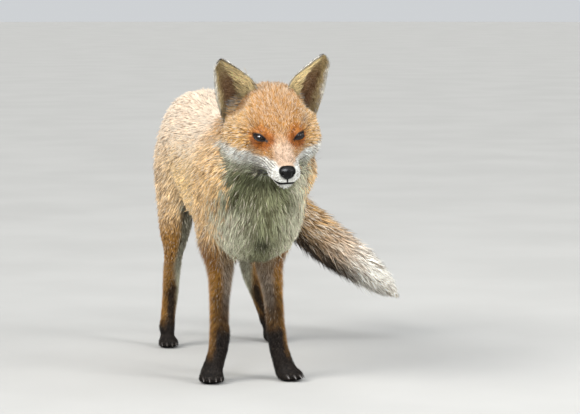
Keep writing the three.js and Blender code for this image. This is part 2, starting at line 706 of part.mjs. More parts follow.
function paw({ leg, x, y, turn, size, top }) {
  const frame = shiftTo(x, y, 0)
    .multiply(turnZ(turn * Math.sign(x)))
    .multiply(new THREE.Matrix4().makeScale(size, size, size));
  const toes = TOES.map(({ side, ahead }) =>
    ellipsoid({
      centre: [side, -ahead, TOE.level],
      radii: [TOE.half, TOE.depth, TOE.height],
      turn: [TOE_TILT, 0, 0],
    }),
  );
  const foot = blend(10, placed(frame, blend(3, ellipsoid(PAW_PAD), ...toes)), legFields[leg]);
  const stations = rising(LEGS[leg]);
  const frames = [0, 3, 8, 14, 21, 30, top - GAP / 2].map((z) => {
    const towards = (from, key) => THREE.MathUtils.lerp(from, valueAt(stations, key, z), z / top);
    return levelFrame(towards(x, 'x'), towards(y, 'y'), z);
  });
  const solid = sampled(foot, frames, 24, 60);
  return TOES.reduce((joined, toe) => joined.add(solidFrom(claw(toe).applyMatrix4(frame))), solid);
}
for (const [name, spec] of Object.entries(PAWS)) parts[name] = paw(spec);

// ---------------------------------------------------------------- tail

const tailPiece = (from, to, count) =>
  sampled(
    withTail,
    evenly(from, to, count).map((t) => {
      const along = brushCurve.getTangent(t);
      const across = new THREE.Vector3(0, 0, 1).cross(along).normalize();
      return { centre: brushCurve.getPoint(t), across, upward: along.clone().cross(across) };
    }),
    16,
    60,
  );
const gapOnBrush = GAP / brushCurve.getLength();
const [rootCut, tipCut] = BRUSH_CUTS;
parts.tail_root = tailPiece(0.05, rootCut - gapOnBrush, 8).intersect(between(TAIL_PLANE, FAR));
parts.tail_brush = tailPiece(rootCut, tipCut - gapOnBrush, 8);
parts.tail_tip = tailPiece(tipCut, 0.995, 6);

// ---------------------------------------------------------------- the fox

const PAINT = {
  head: ['russet', 0.9],
  muzzle: ['white', 0.9],
  lower_jaw: ['white', 0.9],
  nose: ['leather', 0.35],
  eye_right: ['eye', 0.08],
  eye_left: ['eye', 0.08],
  ear_right: ['soot', 0.9],
  ear_left: ['soot', 0.9],
  neck: ['russet', 0.9],
  breast: ['white', 0.9],
  chest: ['russet', 0.9],
  loin: ['buff', 0.9],
  rump: ['buff', 0.9],
  foreleg_right: ['russet', 0.9],
  foreleg_left: ['russet', 0.9],
  haunch_right: ['buff', 0.9],
  haunch_left: ['buff', 0.9],
  hindleg_right: ['russet', 0.9],
  hindleg_left: ['russet', 0.9],
  forepaw_right: ['soot', 0.9],
  forepaw_left: ['soot', 0.9],
  hindpaw_right: ['soot', 0.9],
  hindpaw_left: ['soot', 0.9],
  tail_root: ['russet', 0.9],
  tail_brush: ['buff', 0.9],
  tail_tip: ['cream', 0.9],
};

const fox = new THREE.Group();
fox.name = 'red_fox';
for (const [name, solid] of Object.entries(parts)) {
  const [colour, roughness] = PAINT[name];
  const material = new THREE.MeshStandardMaterial({ color: COLOURS[colour], roughness, metalness: 0 });
  const mesh = new THREE.Mesh(geometryFrom(largest(solid)), material);
  mesh.geometry.computeVertexNormals();
  mesh.name = name;
  fox.add(mesh);
}

// The origin is the middle of the whole fox's footprint, on the floor.
const bounds = new THREE.Box3().setFromObject(fox);
const middle = bounds.getCenter(new THREE.Vector3());
fox.position.set(-middle.x, -middle.y, -bounds.min.z);

export default fox;
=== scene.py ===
"""Dresses a life-size standing red fox: skin, coat, eyes, nose, whiskers and claws, on a plain floor."""

import math

import bpy
import numpy as np
from bpy.props import FloatProperty, FloatVectorProperty, IntProperty, PointerProperty
from mathutils import Matrix, Vector
from mathutils.bvhtree import BVHTree
from mathutils.kdtree import KDTree


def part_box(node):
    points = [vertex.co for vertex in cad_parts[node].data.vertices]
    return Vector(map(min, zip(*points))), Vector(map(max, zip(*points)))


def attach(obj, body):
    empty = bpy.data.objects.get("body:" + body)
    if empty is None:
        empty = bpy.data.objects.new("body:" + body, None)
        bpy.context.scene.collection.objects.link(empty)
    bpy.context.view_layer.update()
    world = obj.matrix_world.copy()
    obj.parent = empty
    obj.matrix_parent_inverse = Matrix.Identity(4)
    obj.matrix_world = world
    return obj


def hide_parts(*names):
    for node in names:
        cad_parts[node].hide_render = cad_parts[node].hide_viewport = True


bl_info = {
    "name": "Red fox",
    "version": (1, 0, 0),
    "blender": (4, 5, 0),
    "location": "3D View > Sidebar > Fox",
    "description": "Builds the skin, coat and face of a life-size red fox round its solids",
    "category": "Object",
}

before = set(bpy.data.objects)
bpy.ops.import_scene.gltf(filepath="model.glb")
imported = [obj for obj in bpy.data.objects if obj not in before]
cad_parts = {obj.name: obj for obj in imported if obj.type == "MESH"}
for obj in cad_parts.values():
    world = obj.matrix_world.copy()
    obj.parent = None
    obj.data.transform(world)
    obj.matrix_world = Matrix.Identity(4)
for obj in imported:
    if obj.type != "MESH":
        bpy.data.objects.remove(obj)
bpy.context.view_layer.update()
MM = 0.001
SEED = 7

# ---------------------------------------------------------------- landmarks

# Marks below are in millimetres from the fox's own origin: on the floor, on its midline, y = 0 at the
# front of the chest, -y ahead, +x its left. ORIGIN is where that point lies in the frame.
ORIGIN = np.array((-133.75, -166.52, 0.0))
EYE_MIDDLE = np.array((11.0, -145.0, 392.0))
HEAD_PITCH, HEAD_ROLL, HEAD_YAW = 23.0, 2.3, -1.0
HEAD_TURN = np.array(
    Matrix.Rotation(math.radians(HEAD_YAW), 3, "Z")
    @ Matrix.Rotation(math.radians(HEAD_PITCH), 3, "X")
    @ Matrix.Rotation(math.radians(-HEAD_ROLL), 3, "Y")
)

NOSE_TIP = (0.0, 78.0, -22.0)  # on the head: side, ahead and up from between the eyes
MOUTH = {"hinge": 6.0, "level": -43.0, "slope": math.tan(math.radians(3)), "front": 66.0}
EYE_GLANCE = math.radians(26)
EYE_SLANT = math.radians(13)
EYE_RISE = 0.30

# The middle line of the brush, from its root to its tip.
BRUSH = (
    (0, 436, 388), (24, 482, 364), (78, 508, 314), (146, 504, 250), (218, 492, 184), (256, 480, 153),
    (285, 468, 131), (309, 457, 112), (328, 446, 96), (341, 437, 84), (352, 426, 73),
)
# The middle line of each leg: height, x and y.
LEG_LINES = {
    "fore_right": ((232, -42, 52), (157, -38, 49), (86, -41, 40), (44, -45, 36), (0, -57, 26)),
    "fore_left": ((232, 44, 52), (157, 42, 49), (86, 47, 40), (44, 53, 36), (0, 64, 24)),
    "hind_right": ((335, -43, 384), (245, -48, 366), (152, -46, 411), (105, -45, 437), (0, -54, 415)),
    "hind_left": ((335, 43, 384), (245, 54, 368), (152, 84, 420), (105, 99, 449), (0, 133, 437)),
}
EAR_INNER = ((18, 26, 58), (24, 53, 58), (35, 69, 60), (61, 89, 64), (74, 97, 66))
EAR_OUTER = ((68, -14, 72), (80, 24, 74), (85, 56, 73), (87, 80, 69), (81, 95, 66))
EAR_CUP = 27.0
# Before an ear the crown keeps below these heights over the eyes, at these distances from the middle.
# Under these heights on the head the cheeks and lips are white, at these places from the back to the front.
CHEEK_EDGE = ((-90, -60, -30, -10, 0, 15, 30, 46, 66), (-44, -31, -24, -24, -26, -23, -19, -15, -16))
# Half the width of the head, without its coat, at these heights over the eyes.
CHEEK_WIDTH = ((-70, -55, -24, 18, 60), (48, 56, 64, 69, 72))
EAR_FOOT = ((18, 30, 35, 42, 57, 74, 90), (76, 60, 49, 35, 26, 23, 20))

FLESH = [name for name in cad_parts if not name.startswith(("eye", "nose"))]


# ---------------------------------------------------------------- numbers and curves


def smooth(x, low, high):
    """0 below low, 1 above high, and an even rise between."""
    t = np.clip((x - low) / (high - low), 0.0, 1.0)
    return t * t * (3 - 2 * t)


def mixed(a, b, share):
    share = np.asarray(share)
    return a + (b - a) * (share[..., None] if np.ndim(a) > share.ndim else share)


def unit(v):
    return v / np.maximum(np.linalg.norm(v, axis=-1, keepdims=True), 1e-9)


def dot(a, b):
    return np.einsum("ij,ij->i", a, b)


def curve_at(points, t):
    """Points at shares t of a smooth curve through the given ones, run on straight past its ends."""
    points = np.asarray(points, float)
    last = len(points) - 1
    place = np.clip(np.asarray(t, float) * last, 0, last - 1e-6)
    i = place.astype(int)
    f = (place - i)[:, None]
    before, here, after = points[np.maximum(i - 1, 0)], points[i], points[i + 1]
    beyond = points[np.minimum(i + 2, last)]
    out = here + 0.5 * f * (
        after - before + f * (2 * before - 5 * here + 4 * after - beyond)
        + f * f * (3 * (here - after) + beyond - before)
    )
    low, high = np.minimum(np.asarray(t) * last, 0), np.maximum((np.asarray(t) - 1) * last, 0)
    out += low[:, None] * (points[1] - points[0])
    return out + high[:, None] * (points[last] - points[last - 1])


def ripple(points, length, seed):
    """Soft unevenness from -1 to 1 over points in millimetres, about one wave in the given length."""
    rng = np.random.default_rng(seed)
    waves = unit(rng.normal(size=(6, 3))) * (2 * math.pi / (length * rng.uniform(0.7, 1.5, (6, 1))))
    return np.sin(points @ waves.T + rng.uniform(0, 2 * math.pi, 6)).mean(1) * 1.6


class Place:
    """Where points of the frame lie: x, y, z on the body and side, ahead, up on the head, in millimetres."""

    def __init__(self, points):
        self.body = points / MM - ORIGIN
        self.x, self.y, self.z = self.body.T
        self.on_head = (self.body - EYE_MIDDLE) @ HEAD_TURN
        self.side, self.up = self.on_head[:, 0], self.on_head[:, 2]
        self.ahead = -self.on_head[:, 1]


def head_to_frame(points):
    """Points given as side, ahead, up on the head, in the frame's metres."""
    local = np.asarray(points, float) * (1, -1, 1)
    return (local @ HEAD_TURN.T + EYE_MIDDLE + ORIGIN) * MM


def head_direction(side, ahead, up):
    return HEAD_TURN @ np.array((side, -ahead, up), float)


# ---------------------------------------------------------------- meshes


def use(obj):
    """Makes an object the only one selected, and the active one."""
    bpy.ops.object.select_all(action="DESELECT")
    obj.select_set(True)
    bpy.context.view_layer.objects.active = obj


def corners_of(obj):
    flat = np.empty(len(obj.data.vertices) * 3, np.float32)
    obj.data.vertices.foreach_get("co", flat)
    return flat.reshape(-1, 3).astype(float)


def set_corners(obj, corners):
    obj.data.vertices.foreach_set("co", corners.astype(np.float32).ravel())
    obj.data.update()


def triangles_of(obj):
    obj.data.calc_loop_triangles()
    flat = np.empty(len(obj.data.loop_triangles) * 3, np.int32)
    obj.data.loop_triangles.foreach_get("vertices", flat)
    return flat.reshape(-1, 3)


def edges_of(obj):
    flat = np.empty(len(obj.data.edges) * 2, np.int32)
    obj.data.edges.foreach_get("vertices", flat)
    return flat.reshape(-1, 2)


def mesh_from(name, corners, triangles, smooth_faces=True):
    """A mesh object from arrays of corners and triangles."""
    mesh = bpy.data.meshes.new(name)
    mesh.vertices.add(len(corners))
    mesh.vertices.foreach_set("co", np.asarray(corners, np.float32).ravel())
    mesh.loops.add(triangles.size)
    mesh.loops.foreach_set("vertex_index", np.asarray(triangles, np.int32).ravel())
    mesh.polygons.add(len(triangles))
    mesh.polygons.foreach_set("loop_start", np.arange(0, triangles.size, 3, dtype=np.int32))
    mesh.update(calc_edges=True)
    mesh.polygons.foreach_set("use_smooth", np.full(len(triangles), smooth_faces))
    obj = bpy.data.objects.new(name, mesh)
    bpy.context.scene.collection.objects.link(obj)
    return obj


def paint(obj, name, colours):
    """Stores a colour for each corner of the mesh."""
    layer = obj.data.color_attributes.new(name, "FLOAT_COLOR", "POINT")
    rgba = np.ones((len(colours), 4), np.float32)
    rgba[:, : colours.shape[1]] = colours
    layer.data.foreach_set("color", rgba.ravel())


def even_out(values, edges, rounds, share=0.5):
    """Averages values with those of the neighbouring corners, a few times over."""
    values = np.array(values, float)
    flat = values.reshape(len(values), -1)
    ends = np.concatenate((edges[:, 0], edges[:, 1]))
    others = np.concatenate((edges[:, 1], edges[:, 0]))
    degree = np.maximum(np.bincount(ends, minlength=len(values)), 1)
    share = np.broadcast_to(share, len(values))
    for _ in range(rounds):
        for k in range(flat.shape[1]):
            mean = np.bincount(ends, flat[others, k], len(values)) / degree
            flat[:, k] += (mean - flat[:, k]) * share
    return flat.reshape(values.shape)


def normals_of(corners, triangles):
    a, b, c = (corners[triangles[:, k]] for k in range(3))
    faces = np.cross(b - a, c - a)
    out = np.empty_like(corners)
    for k in range(3):
        out[:, k] = sum(np.bincount(triangles[:, j], faces[:, k], len(corners)) for j in range(3))
    return unit(out)


# ---------------------------------------------------------------- the coat's plan

# What grows where: the coat's depth over the skin, a lock's length and width in millimetres, locks to
# a square centimetre, and the lie of the hair as outwards, back and up.
COAT = {
    "muzzle": (2.0, 6.5, 0.95, 170, (0.0, 1.0, 0.25)),
    "lower_jaw": (3.0, 8.0, 1.0, 130, (0.0, 1.0, -0.6)),
    "face": (4.0, 9.0, 1.0, 165, (0.3, 1.0, 0.6)),
    "crown": (9.0, 16.0, 1.2, 190, (0.1, 0.8, 0.6)),
    "cheek": (13.0, 20.0, 1.3, 80, (0.5, 0.8, -0.8)),
    "ear_front": (0.8, 6.0, 0.9, 55, (0.0, 0.0, 1.0)),
    "ear_back": (0.8, 5.0, 1.0, 50, (0.0, 0.0, 1.0)),
    "neck": (11.0, 34.0, 1.5, 36, (0.5, 0.9, -0.9)),
    "breast": (13.0, 38.0, 1.5, 36, (0.25, 0.0, -1.0)),
    "chest": (12.0, 30.0, 1.7, 24, (0.1, 0.9, -0.75)),
    "loin": (13.0, 28.0, 1.7, 17, (0.1, 1.0, -0.45)),
    "rump": (13.0, 26.0, 1.7, 17, (0.2, 0.9, -0.6)),
    "haunch": (13.0, 24.0, 1.7, 14, (0.1, 0.6, -1.0)),
    "foreleg": (4.0, 12.0, 1.2, 68, (0.0, 0.15, -1.0)),
    "hindleg": (3.2, 10.0, 1.2, 68, (0.0, 0.2, -1.0)),
    "paw": (1.6, 6.0, 1.1, 58, (0.1, -0.7, -0.6)),
    "tail_root": (18.0, 38.0, 2.2, 26, (0.0, 0.0, 0.0)),
    "tail_brush": (28.0, 56.0, 2.3, 34, (0.0, 0.0, 0.0)),
    "tail_tip": (22.0, 46.0, 1.9, 70, (0.0, 0.0, 0.0)),
}
REGIONS = list(COAT)
NODE_REGION = {
    "muzzle": "muzzle", "lower_jaw": "lower_jaw", "head": "face", "neck": "neck", "breast": "breast",
    "chest": "chest", "loin": "loin", "rump": "rump", "tail_root": "tail_root",
    "tail_brush": "tail_brush", "tail_tip": "tail_tip",
}
PAIRED_REGION = {
    "ear": "ear_back", "foreleg": "foreleg", "haunch": "haunch", "hindleg": "hindleg",
    "forepaw": "paw", "hindpaw": "paw",
}
TAIL = ("tail_root", "tail_brush", "tail_tip")


def region_of_node(node):
    return NODE_REGION.get(node) or PAIRED_REGION[node.split("_")[0]]


def is_in(label, *names):
    return np.isin(label, [REGIONS.index(name) for name in names])


def along_brush(place):
    """Share of the brush's length and nearest point of its middle line, for each place."""
    shares = np.linspace(0, 1, 81)
    line = curve_at(BRUSH, shares)
    nearest = np.empty(len(place.x), int)
    for start in range(0, len(nearest), 20000):
        part = place.body[start : start + 20000]
        nearest[start : start + 20000] = ((part[:, None] - line) ** 2).sum(2).argmin(1)
    return shares[nearest], line[nearest]


def leg_axes(place):
    """For each place the nearest leg's middle at its height: x, y, and the leg's number."""
    best = np.full(len(place.x), np.inf)
    out = np.zeros((len(best), 3))
    for number, line in enumerate(LEG_LINES.values()):
        heights, xs, ys = np.array(line, float)[::-1].T
        x, y = np.interp(place.z, heights, xs), np.interp(place.z, heights, ys)
        far = np.hypot(place.x - x, place.y - y)
        near = far < best
        best[near] = far[near]
        out[near] = np.stack((x, y, np.full_like(x, number)), 1)[near]
    return out


def lie_at(place, label, normals):
    """The way the hair lies at each place, along the skin."""
    table = np.array([COAT[name][4] for name in REGIONS])[label]
    sign = np.sign(place.x)
    lie = np.stack((table[:, 0] * sign, table[:, 1], table[:, 2]), 1)
    head = is_in(label, "muzzle", "lower_jaw", "face", "crown", "cheek")
    from_nose = unit(place.on_head * (1, -1, 1) - np.array(NOSE_TIP) * (0.4, 1, 1))
    from_nose[:, 2] -= 0.75 * smooth(np.abs(place.side), 28, 52) * smooth(-place.up, -25, 15)
    from_nose[:, 0] += 0.25 * np.sign(place.side) * smooth(-place.ahead, 10, 60)
    for eye in EYES.values():
        away = place.on_head - eye["on_head"]
        far = np.linalg.norm(away, axis=1)
        from_nose += unit(away * (1, -1, 1)) * (1.3 * (1 - smooth(far, 10, 24)))[:, None]
    turned = (from_nose * (1, -1, 1)) @ HEAD_TURN.T
    lie[head] = turned[head]
    tail = is_in(label, *TAIL)
    if tail.any():
        share, _ = along_brush(place)
        ahead = curve_at(BRUSH, np.clip(share + 0.02, 0, 1)) - curve_at(BRUSH, np.clip(share - 0.02, 0, 1))
        lie[tail] = unit(ahead)[tail]
    lie = unit(lie)
    return unit(lie - normals * (dot(lie, normals) * 0.98)[:, None])


# ---------------------------------------------------------------- markings


def eye_distance(place):
    """How far each place is from the nearer eye, in millimetres, and whether it is on that eye's inner side."""
    out = np.full(len(place.x), np.inf)
    inner = np.zeros(len(out))
    for eye in EYES.values():
        delta = place.on_head - eye["on_head"]
        far = np.linalg.norm(delta, axis=1)
        near = far < out
        out[near] = far[near]
        inner[near] = (-delta[:, 0] * eye["side"])[near]
    return out, inner


def markings(place, label, info, rng=None):
    """The colour of the coat, its share of pale-tipped and of dark-tipped hair, for each place."""
    c = bpy.context.scene.fox_colours
    count = len(place.x)
    rough = ripple(place.body, 17, 3) * 0.6 + ripple(place.body, 6, 4) * 0.4
    if rng is not None:
        rough = rough + rng.normal(0, 0.45, count)
    x, y, z = place.x + rough * 3, place.y, place.z + rough * 4
    side, ahead, up = np.abs(place.side) + rough, place.ahead + rough, place.up + rough * 1.6
    limbs = is_in(label, "foreleg", "haunch", "hindleg", "paw")
    head = is_in(label, "muzzle", "lower_jaw", "face", "crown", "cheek")
    tail = is_in(label, *TAIL)

    tone = np.tile(np.array(c.buff), (count, 1))
    flank = (1 - smooth(z, 300, 400)) * (1 - 0.55 * smooth(y, 230, 380))
    tone = mixed(tone, np.array(c.gold), flank)
    shoulder = 1 - smooth(y + (z - 330) * 0.55, -20, 110)
    low = (1 - smooth(z, 215, 300)) * (1 - 0.5 * smooth(y, 150, 330))
    tone = mixed(tone, np.array(c.russet), np.clip(0.75 * shoulder + 0.7 * low, 0, 1) * ~tail)
    pale_tip = 0.75 * smooth(z, 300, 400) * smooth(y, 0, 140) + 0.2
    dark_tip = np.full(count, 0.12) + 0.18 * smooth(y, 100, 300)

    # Legs: russet outside, pale inside the thigh, and dark stockings with a stripe up the front.
    axis = leg_axes(place)
    legs_out = (place.x - axis[:, 0]) * np.sign(axis[:, 0])
    legs_back = place.y - axis[:, 1]
    hind = axis[:, 2] > 1
    leg = limbs & (z < 245)
    tone = mixed(tone, np.array(c.leg), leg * (1 - smooth(z, 190, 245)))
    inner_edge = np.where(hind, np.interp(z, (70, 140), (4, -5)), -4)
    inner = smooth(-legs_out, inner_edge, inner_edge + 8)
    # The inside of the hind thigh is pale, and is painted darker higher up as shade under the belly.
    inner_thigh_and_shade = np.outer(mixed(0.85, 0.26, smooth(z, 100, 180)), c.bib)
    tone = np.where((limbs & hind)[:, None], mixed(tone, inner_thigh_and_shade, inner * smooth(z, 45, 75) * 0.95), tone)
    tone = mixed(tone, np.array(c.white) * 0.6, (leg & ~hind) * inner * smooth(z, 80, 130) * 0.5)
    sock_top = np.where(hind, 66, 104)
    sock = 1 - smooth(z, sock_top - 34, sock_top + 16)
    stripe = smooth(-legs_back, np.where(hind, -5, 0), np.where(hind, 3, 9))
    stripe = stripe * (1 - smooth(z, np.where(hind, 92, 110), np.where(hind, 128, 190))) * np.where(hind, 0.95, 0.75)
    spared = 0.75 * smooth(legs_out + rough * 2, 3, np.where(hind, 9, 13)) * smooth(z, 28, 60)
    spared = np.maximum(spared, hind * inner * smooth(z, 45, 70))
    soot = limbs * np.clip(np.maximum(sock, stripe), 0, 1) * (1 - spared)
    # Painted shadow: the tops of the forelegs are darkened and reddened where the chest's shadow falls on them.
    chest_shadow = leg * ~hind * smooth(z, 150, 200)
    tone = tone * (1 - np.outer(chest_shadow, (0.34, 0.44, 0.60)))
    pale_tip = np.where(leg, 0.13, pale_tip)
    dark_tip = np.where(leg, 0.15 + 0.4 * (1 - smooth(z, 100, 200)), dark_tip)

    # White below: breast, throat, belly.
    front = np.degrees(np.arctan2(np.abs(x - 3), 12 - y))
    half = np.interp(z, (200, 235, 266, 320, 350, 385), (62, 64, 63, 60, 58, 50))
    strands = ripple(place.body * (1, 1, 0.3), 8, 21)
    white = (1 - smooth(front, 70, 86)) * (1 - smooth(np.abs(x + rough * 8 + strands * 9 - 8), half - 6, half + 6))
    fringe = is_in(label, "foreleg") * smooth(z + rough * 8 + strands * 16, 190, 210)
    white = white * np.maximum(is_in(label, "neck", "breast", "chest"), fringe) * (1 - smooth(z, 375, 400))
    belly = (1 - smooth(z, 212, 236)) * smooth(y, 40, 80) * is_in(label, "chest", "loin", "rump")
    white = np.maximum(white, belly * 0.8)
    # The white parts take the bib colour, which holds painted shade and a painted green cast of reflected light over
    # the white fur.
    tone = mixed(tone, np.array(c.bib), white)
    # Painted shadow under the head: the top of the white throat is darkened to a deep olive.
    throat = smooth(z, 264, 294) * (1 - smooth(np.abs(place.x + 5), 32, 66)) * white
    tone = mixed(tone, np.array(c.bib) * (0.17, 0.18, 0.125), throat)
    # Painted shade down the middle of the breast, below the throat.
    middle = np.exp(-(((place.x - 5) / 34) ** 2)) * (1 - smooth(z, 290, 330)) * white
    tone = mixed(tone, np.array(c.bib) * (0.46, 0.47, 0.36), middle)
    # Painted shade in the parting of the fur low on the chest, laid in as soot.
    parting_shade = np.exp(-(((place.x - 4 + strands * 5) / 12) ** 2) - ((place.z - 228) / 14) ** 2) * (place.y < 0)
    soot = np.maximum(soot, 0.85 * parting_shade)
    # The painted shade of throat and breast, which also thins the pale tips below.
    shaded = np.maximum(throat, middle)

    # Head: orange above, white cheeks and lips, rust round the eyes, a pale bridge.
    edge = np.interp(place.ahead, *CHEEK_EDGE)
    face = mixed(np.tile(np.array(c.orange), (count, 1)), np.array(c.gold), smooth(side, 26, 56) * 0.45)
    bridge = smooth(ahead, 2, 40) * (1 - smooth(side, 9, 19))
    face = mixed(face, np.array(c.bridge), bridge)
    eye_far, eye_inner = eye_distance(place)
    rust = 1 - smooth(eye_far + rough * 2, 13, np.where(eye_inner > 0, 24, 20))
    patch = np.sqrt((side - 19) ** 2 + ((ahead - 9) * 0.8) ** 2 + (up + 3) ** 2)
    rust = np.maximum(rust * np.where(place.up > 8, 0.7, 1.0), 1 - smooth(patch, 9, 19))
    face = mixed(face, np.array(c.rust), rust)
    corner = np.sqrt((side - 18) ** 2 + ((ahead - 8) * 0.7) ** 2 + (up + 2) ** 2)
    face = mixed(face, np.array(c.rust) * 0.4, 0.8 * (1 - smooth(corner, 3, 10)))
    lips = smooth(edge - up, -2.5, 3.5) * (1 - 0.8 * smooth(side, 62, 74))
    cheek_white = np.array(c.white) * mixed(1.0, 0.8, smooth(-ahead, -30, 15))[:, None]
    face = mixed(face, cheek_white, lips)
    # Painted shadow under the back of the jaw: the white there is darkened to olive.
    jaw_shadow = smooth(-up, 34, 58) * (1 - smooth(ahead, 0, 26)) * lips
    face = mixed(face, np.array(c.bib) * (0.40, 0.42, 0.31), 0.85 * jaw_shadow)
    fan = np.arctan2(place.up + 20, np.abs(place.side)) + rough * 0.012
    streak = smooth(np.sin(fan * 34), 0.1, 0.8) * smooth(side, 11, 16) * (1 - smooth(side, 40, 56))
    streak = streak * smooth(ahead, -12, 12) * (1 - smooth(ahead, 56, 64)) * lips * smooth(up, -46, -40)
    face = mixed(face, np.array(c.soot) * 3, 0.85 * streak)
    tone = np.where(head[:, None], face, tone)
    behind = smooth(ahead + rough * 5, -94, -78) * smooth(edge - up, -2, 8) * smooth(up, -58, -44)
    behind = behind * smooth(side, 44, 56) * is_in(label, "neck")
    tone = mixed(tone, np.array(c.white) * 0.85, 0.75 * behind)
    nape = is_in(label, "neck") * smooth(z, 365, 405)
    tone = mixed(tone, np.array(c.orange), nape * 0.7)
    white = np.where(head, lips, white)
    pale_tip = np.where(head, 0.36 * (1 - lips) * (1 - 0.7 * bridge) * (1 - rust), pale_tip)
    brow = np.exp(-(((side - 17) / 9) ** 2) - ((up - 17) / 9) ** 2)
    dark_tip = np.where(head, (0.12 + 0.35 * brow) * (1 - lips) * (1 - bridge), dark_tip)

    # Brush: buff over, dark under and along its middle, and a pale tip.
    if tail.any():
        share, middle = along_brush(place)
        off = place.body - middle
        over = off[:, 2] / np.maximum(np.linalg.norm(off, axis=1), 1) + rough * 0.25
        brush = mixed(np.tile(np.array(c.brush), (count, 1)), np.array(c.gold) * (0.70, 0.60, 0.46), smooth(over, 0.1, 0.9))
        brush = mixed(brush, np.array(c.buff) * 1.1, 0.75 * smooth(share, 0.34, 0.54))
        under = smooth(-over, 0.05, 0.6) * (1 - smooth(share + rough * 0.03, 0.60, 0.74))
        tip = smooth(share + rough * 0.035 + over * 0.05, 0.50, 0.68)
        brush = mixed(brush, np.array(c.soot) * 1.6, under * 0.93)
        brush = mixed(brush, np.array(c.cream) * 1.07, tip)
        tone = np.where(tail[:, None], brush, tone)
        soot = np.where(tail, 0, soot)
        dark_tip = np.where(tail, 0.5 * (1 - tip), dark_tip)
        pale_tip = np.where(tail, 0.4 * (1 - under) * (1 - tip), pale_tip)
        white = np.where(tail, tip, white)

    # Ears: black velvet behind, pale hair before a dark hollow.
    high, across = info[:, 0], info[:, 1]
    back = mixed(np.tile(np.array(c.russet), (count, 1)), np.array(c.soot), smooth(high + rough * 0.05, 0.12, 0.4))
    w = across + rough * 0.05
    near_edge = np.interp(high, (0.0, 0.25, 0.5, 0.8), (-0.1, 0.10, 0.30, 0.48))
    hollow = smooth(w, near_edge - 0.06, near_edge + 0.10) * (1 - smooth(w, 0.76, 0.90))
    hollow = hollow * (1 - smooth(high + rough * 0.05, 0.40, 0.85))
    rim = smooth(high, 0.1, 0.35) * (1 - 0.7 * smooth(high, 0.8, 0.95))
    ear_tone = np.outer(mixed(0.55, 1.0, smooth(high, 0.0, 0.35)) * mixed(1.0, 0.75, smooth(w, 0.7, 0.85)), c.ear)
    front_tone = mixed(ear_tone, np.array(c.cream), rim * (1 - smooth(np.minimum(w, 1 - w), 0.02, 0.09)))
    # The hollow's dark colour is the ear's dark inner skin together with painted shade, deepest low in the cup.
    front_tone = mixed(front_tone, np.array(c.hollow), hollow * 0.88)
    back = mixed(back, np.array(c.cream), rim * (1 - smooth(np.minimum(w, 1 - w), 0.02, 0.05)))
    tone = np.where(is_in(label, "ear_back")[:, None], back, tone)
    tone = np.where(is_in(label, "ear_front")[:, None], front_tone, tone)
    ears = is_in(label, "ear_back", "ear_front")
    soot = np.where(ears, 0, soot)
    tone = mixed(tone, np.array(c.soot), np.clip(soot, 0, 1))
    pale_tip = np.where(ears, 0.1 * rim, np.where((white > 0.5) & ~tail, 0.3, pale_tip))
    # Fewer pale tips where shade is painted on the white front.
    pale_tip = pale_tip * (1 - np.clip(1.1 * soot, 0, 1)) * (1 - 0.85 * shaded * ~(head | tail))
    dark_tip = np.where(white > 0.5, 0.05, dark_tip)
    # How far the hair roots and the skin beneath are darkened: the underfur's own darker colour together with painted
    # shade between the locks, strongest on the white front.
    underfur_and_shade = 0.35 + 0.3 * (1 - smooth(z, 300, 400))
    underfur_and_shade = np.where((white > 0.3) & ~head & ~tail, 0.85, underfur_and_shade)
    underfur_and_shade = np.where(head | ears, 0.3, underfur_and_shade)
    if tail.any():
        underfur_and_shade = np.where(tail, 0.45 * (1 - tip), underfur_and_shade)
    return tone, pale_tip, dark_tip, underfur_and_shade


# ---------------------------------------------------------------- skin


def eye_facts():
    """Each eyeball's middle, radius and the directions it looks, to its outer corner, and up."""
    out = {}
    for name, side in (("eye_right", -1), ("eye_left", 1)):
        low, high = (np.array(corner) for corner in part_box(name))
        middle = (low + high) / 2
        gaze = unit(head_direction(side * math.sin(EYE_GLANCE), math.cos(EYE_GLANCE), EYE_RISE))
        level = unit(np.cross(gaze, head_direction(0, 0, 1)) * -side)
        upward = unit(np.cross(gaze, level) * side)
        upward = upward if upward[2] > 0 else -upward
        corner = math.cos(EYE_SLANT) * level + math.sin(EYE_SLANT) * upward
        lid = math.cos(EYE_SLANT) * upward - math.sin(EYE_SLANT) * level
        on_head = (middle / MM - ORIGIN - EYE_MIDDLE) @ HEAD_TURN
        out[name] = {
            "middle": middle, "on_head": on_head, "side": side, "gaze": gaze, "corner": corner, "lid": lid,
            "radius": float((high - low).max() / 2),
        }
    return out


EYES = eye_facts()
# Two almonds in millimetres, each the meeting of two circles: the opening between the lids, measured
# on the eyeball, and the dark skin round it, measured on the plane that faces the gaze.
LIDS = {"half_width": 8.5, "above": 5.0, "below": 2.6, "shift": 0.5}
DARK_SKIN = {"half_width": 12.5, "above": 6.6, "below": 4.0, "shift": 1.9}
TEAR = {"start": -10.2, "reach": 3.6, "drop": 2.8, "thick": 0.8}


def outside_almond(u, v, almond):
    """How far a place lies outside an almond; u runs to the eye's outer corner and v up."""
    wide, high = almond["half_width"], np.where(v > 0, almond["above"], almond["below"])
    radius = (wide**2 + high**2) / (2 * high)
    u = u - almond["shift"]
    lens = np.hypot(u, np.abs(v) + radius - high) - radius
    return np.where(np.abs(u) > wide, np.hypot(np.abs(u) - wide, v), lens)


def round_eye(eye, points):
    """For points in the frame: their distance from the eye's middle, and their places along its three axes."""
    local = (points - eye["middle"]) / MM
    return np.linalg.norm(local, axis=1), *(local @ eye[key] for key in ("corner", "lid", "gaze"))


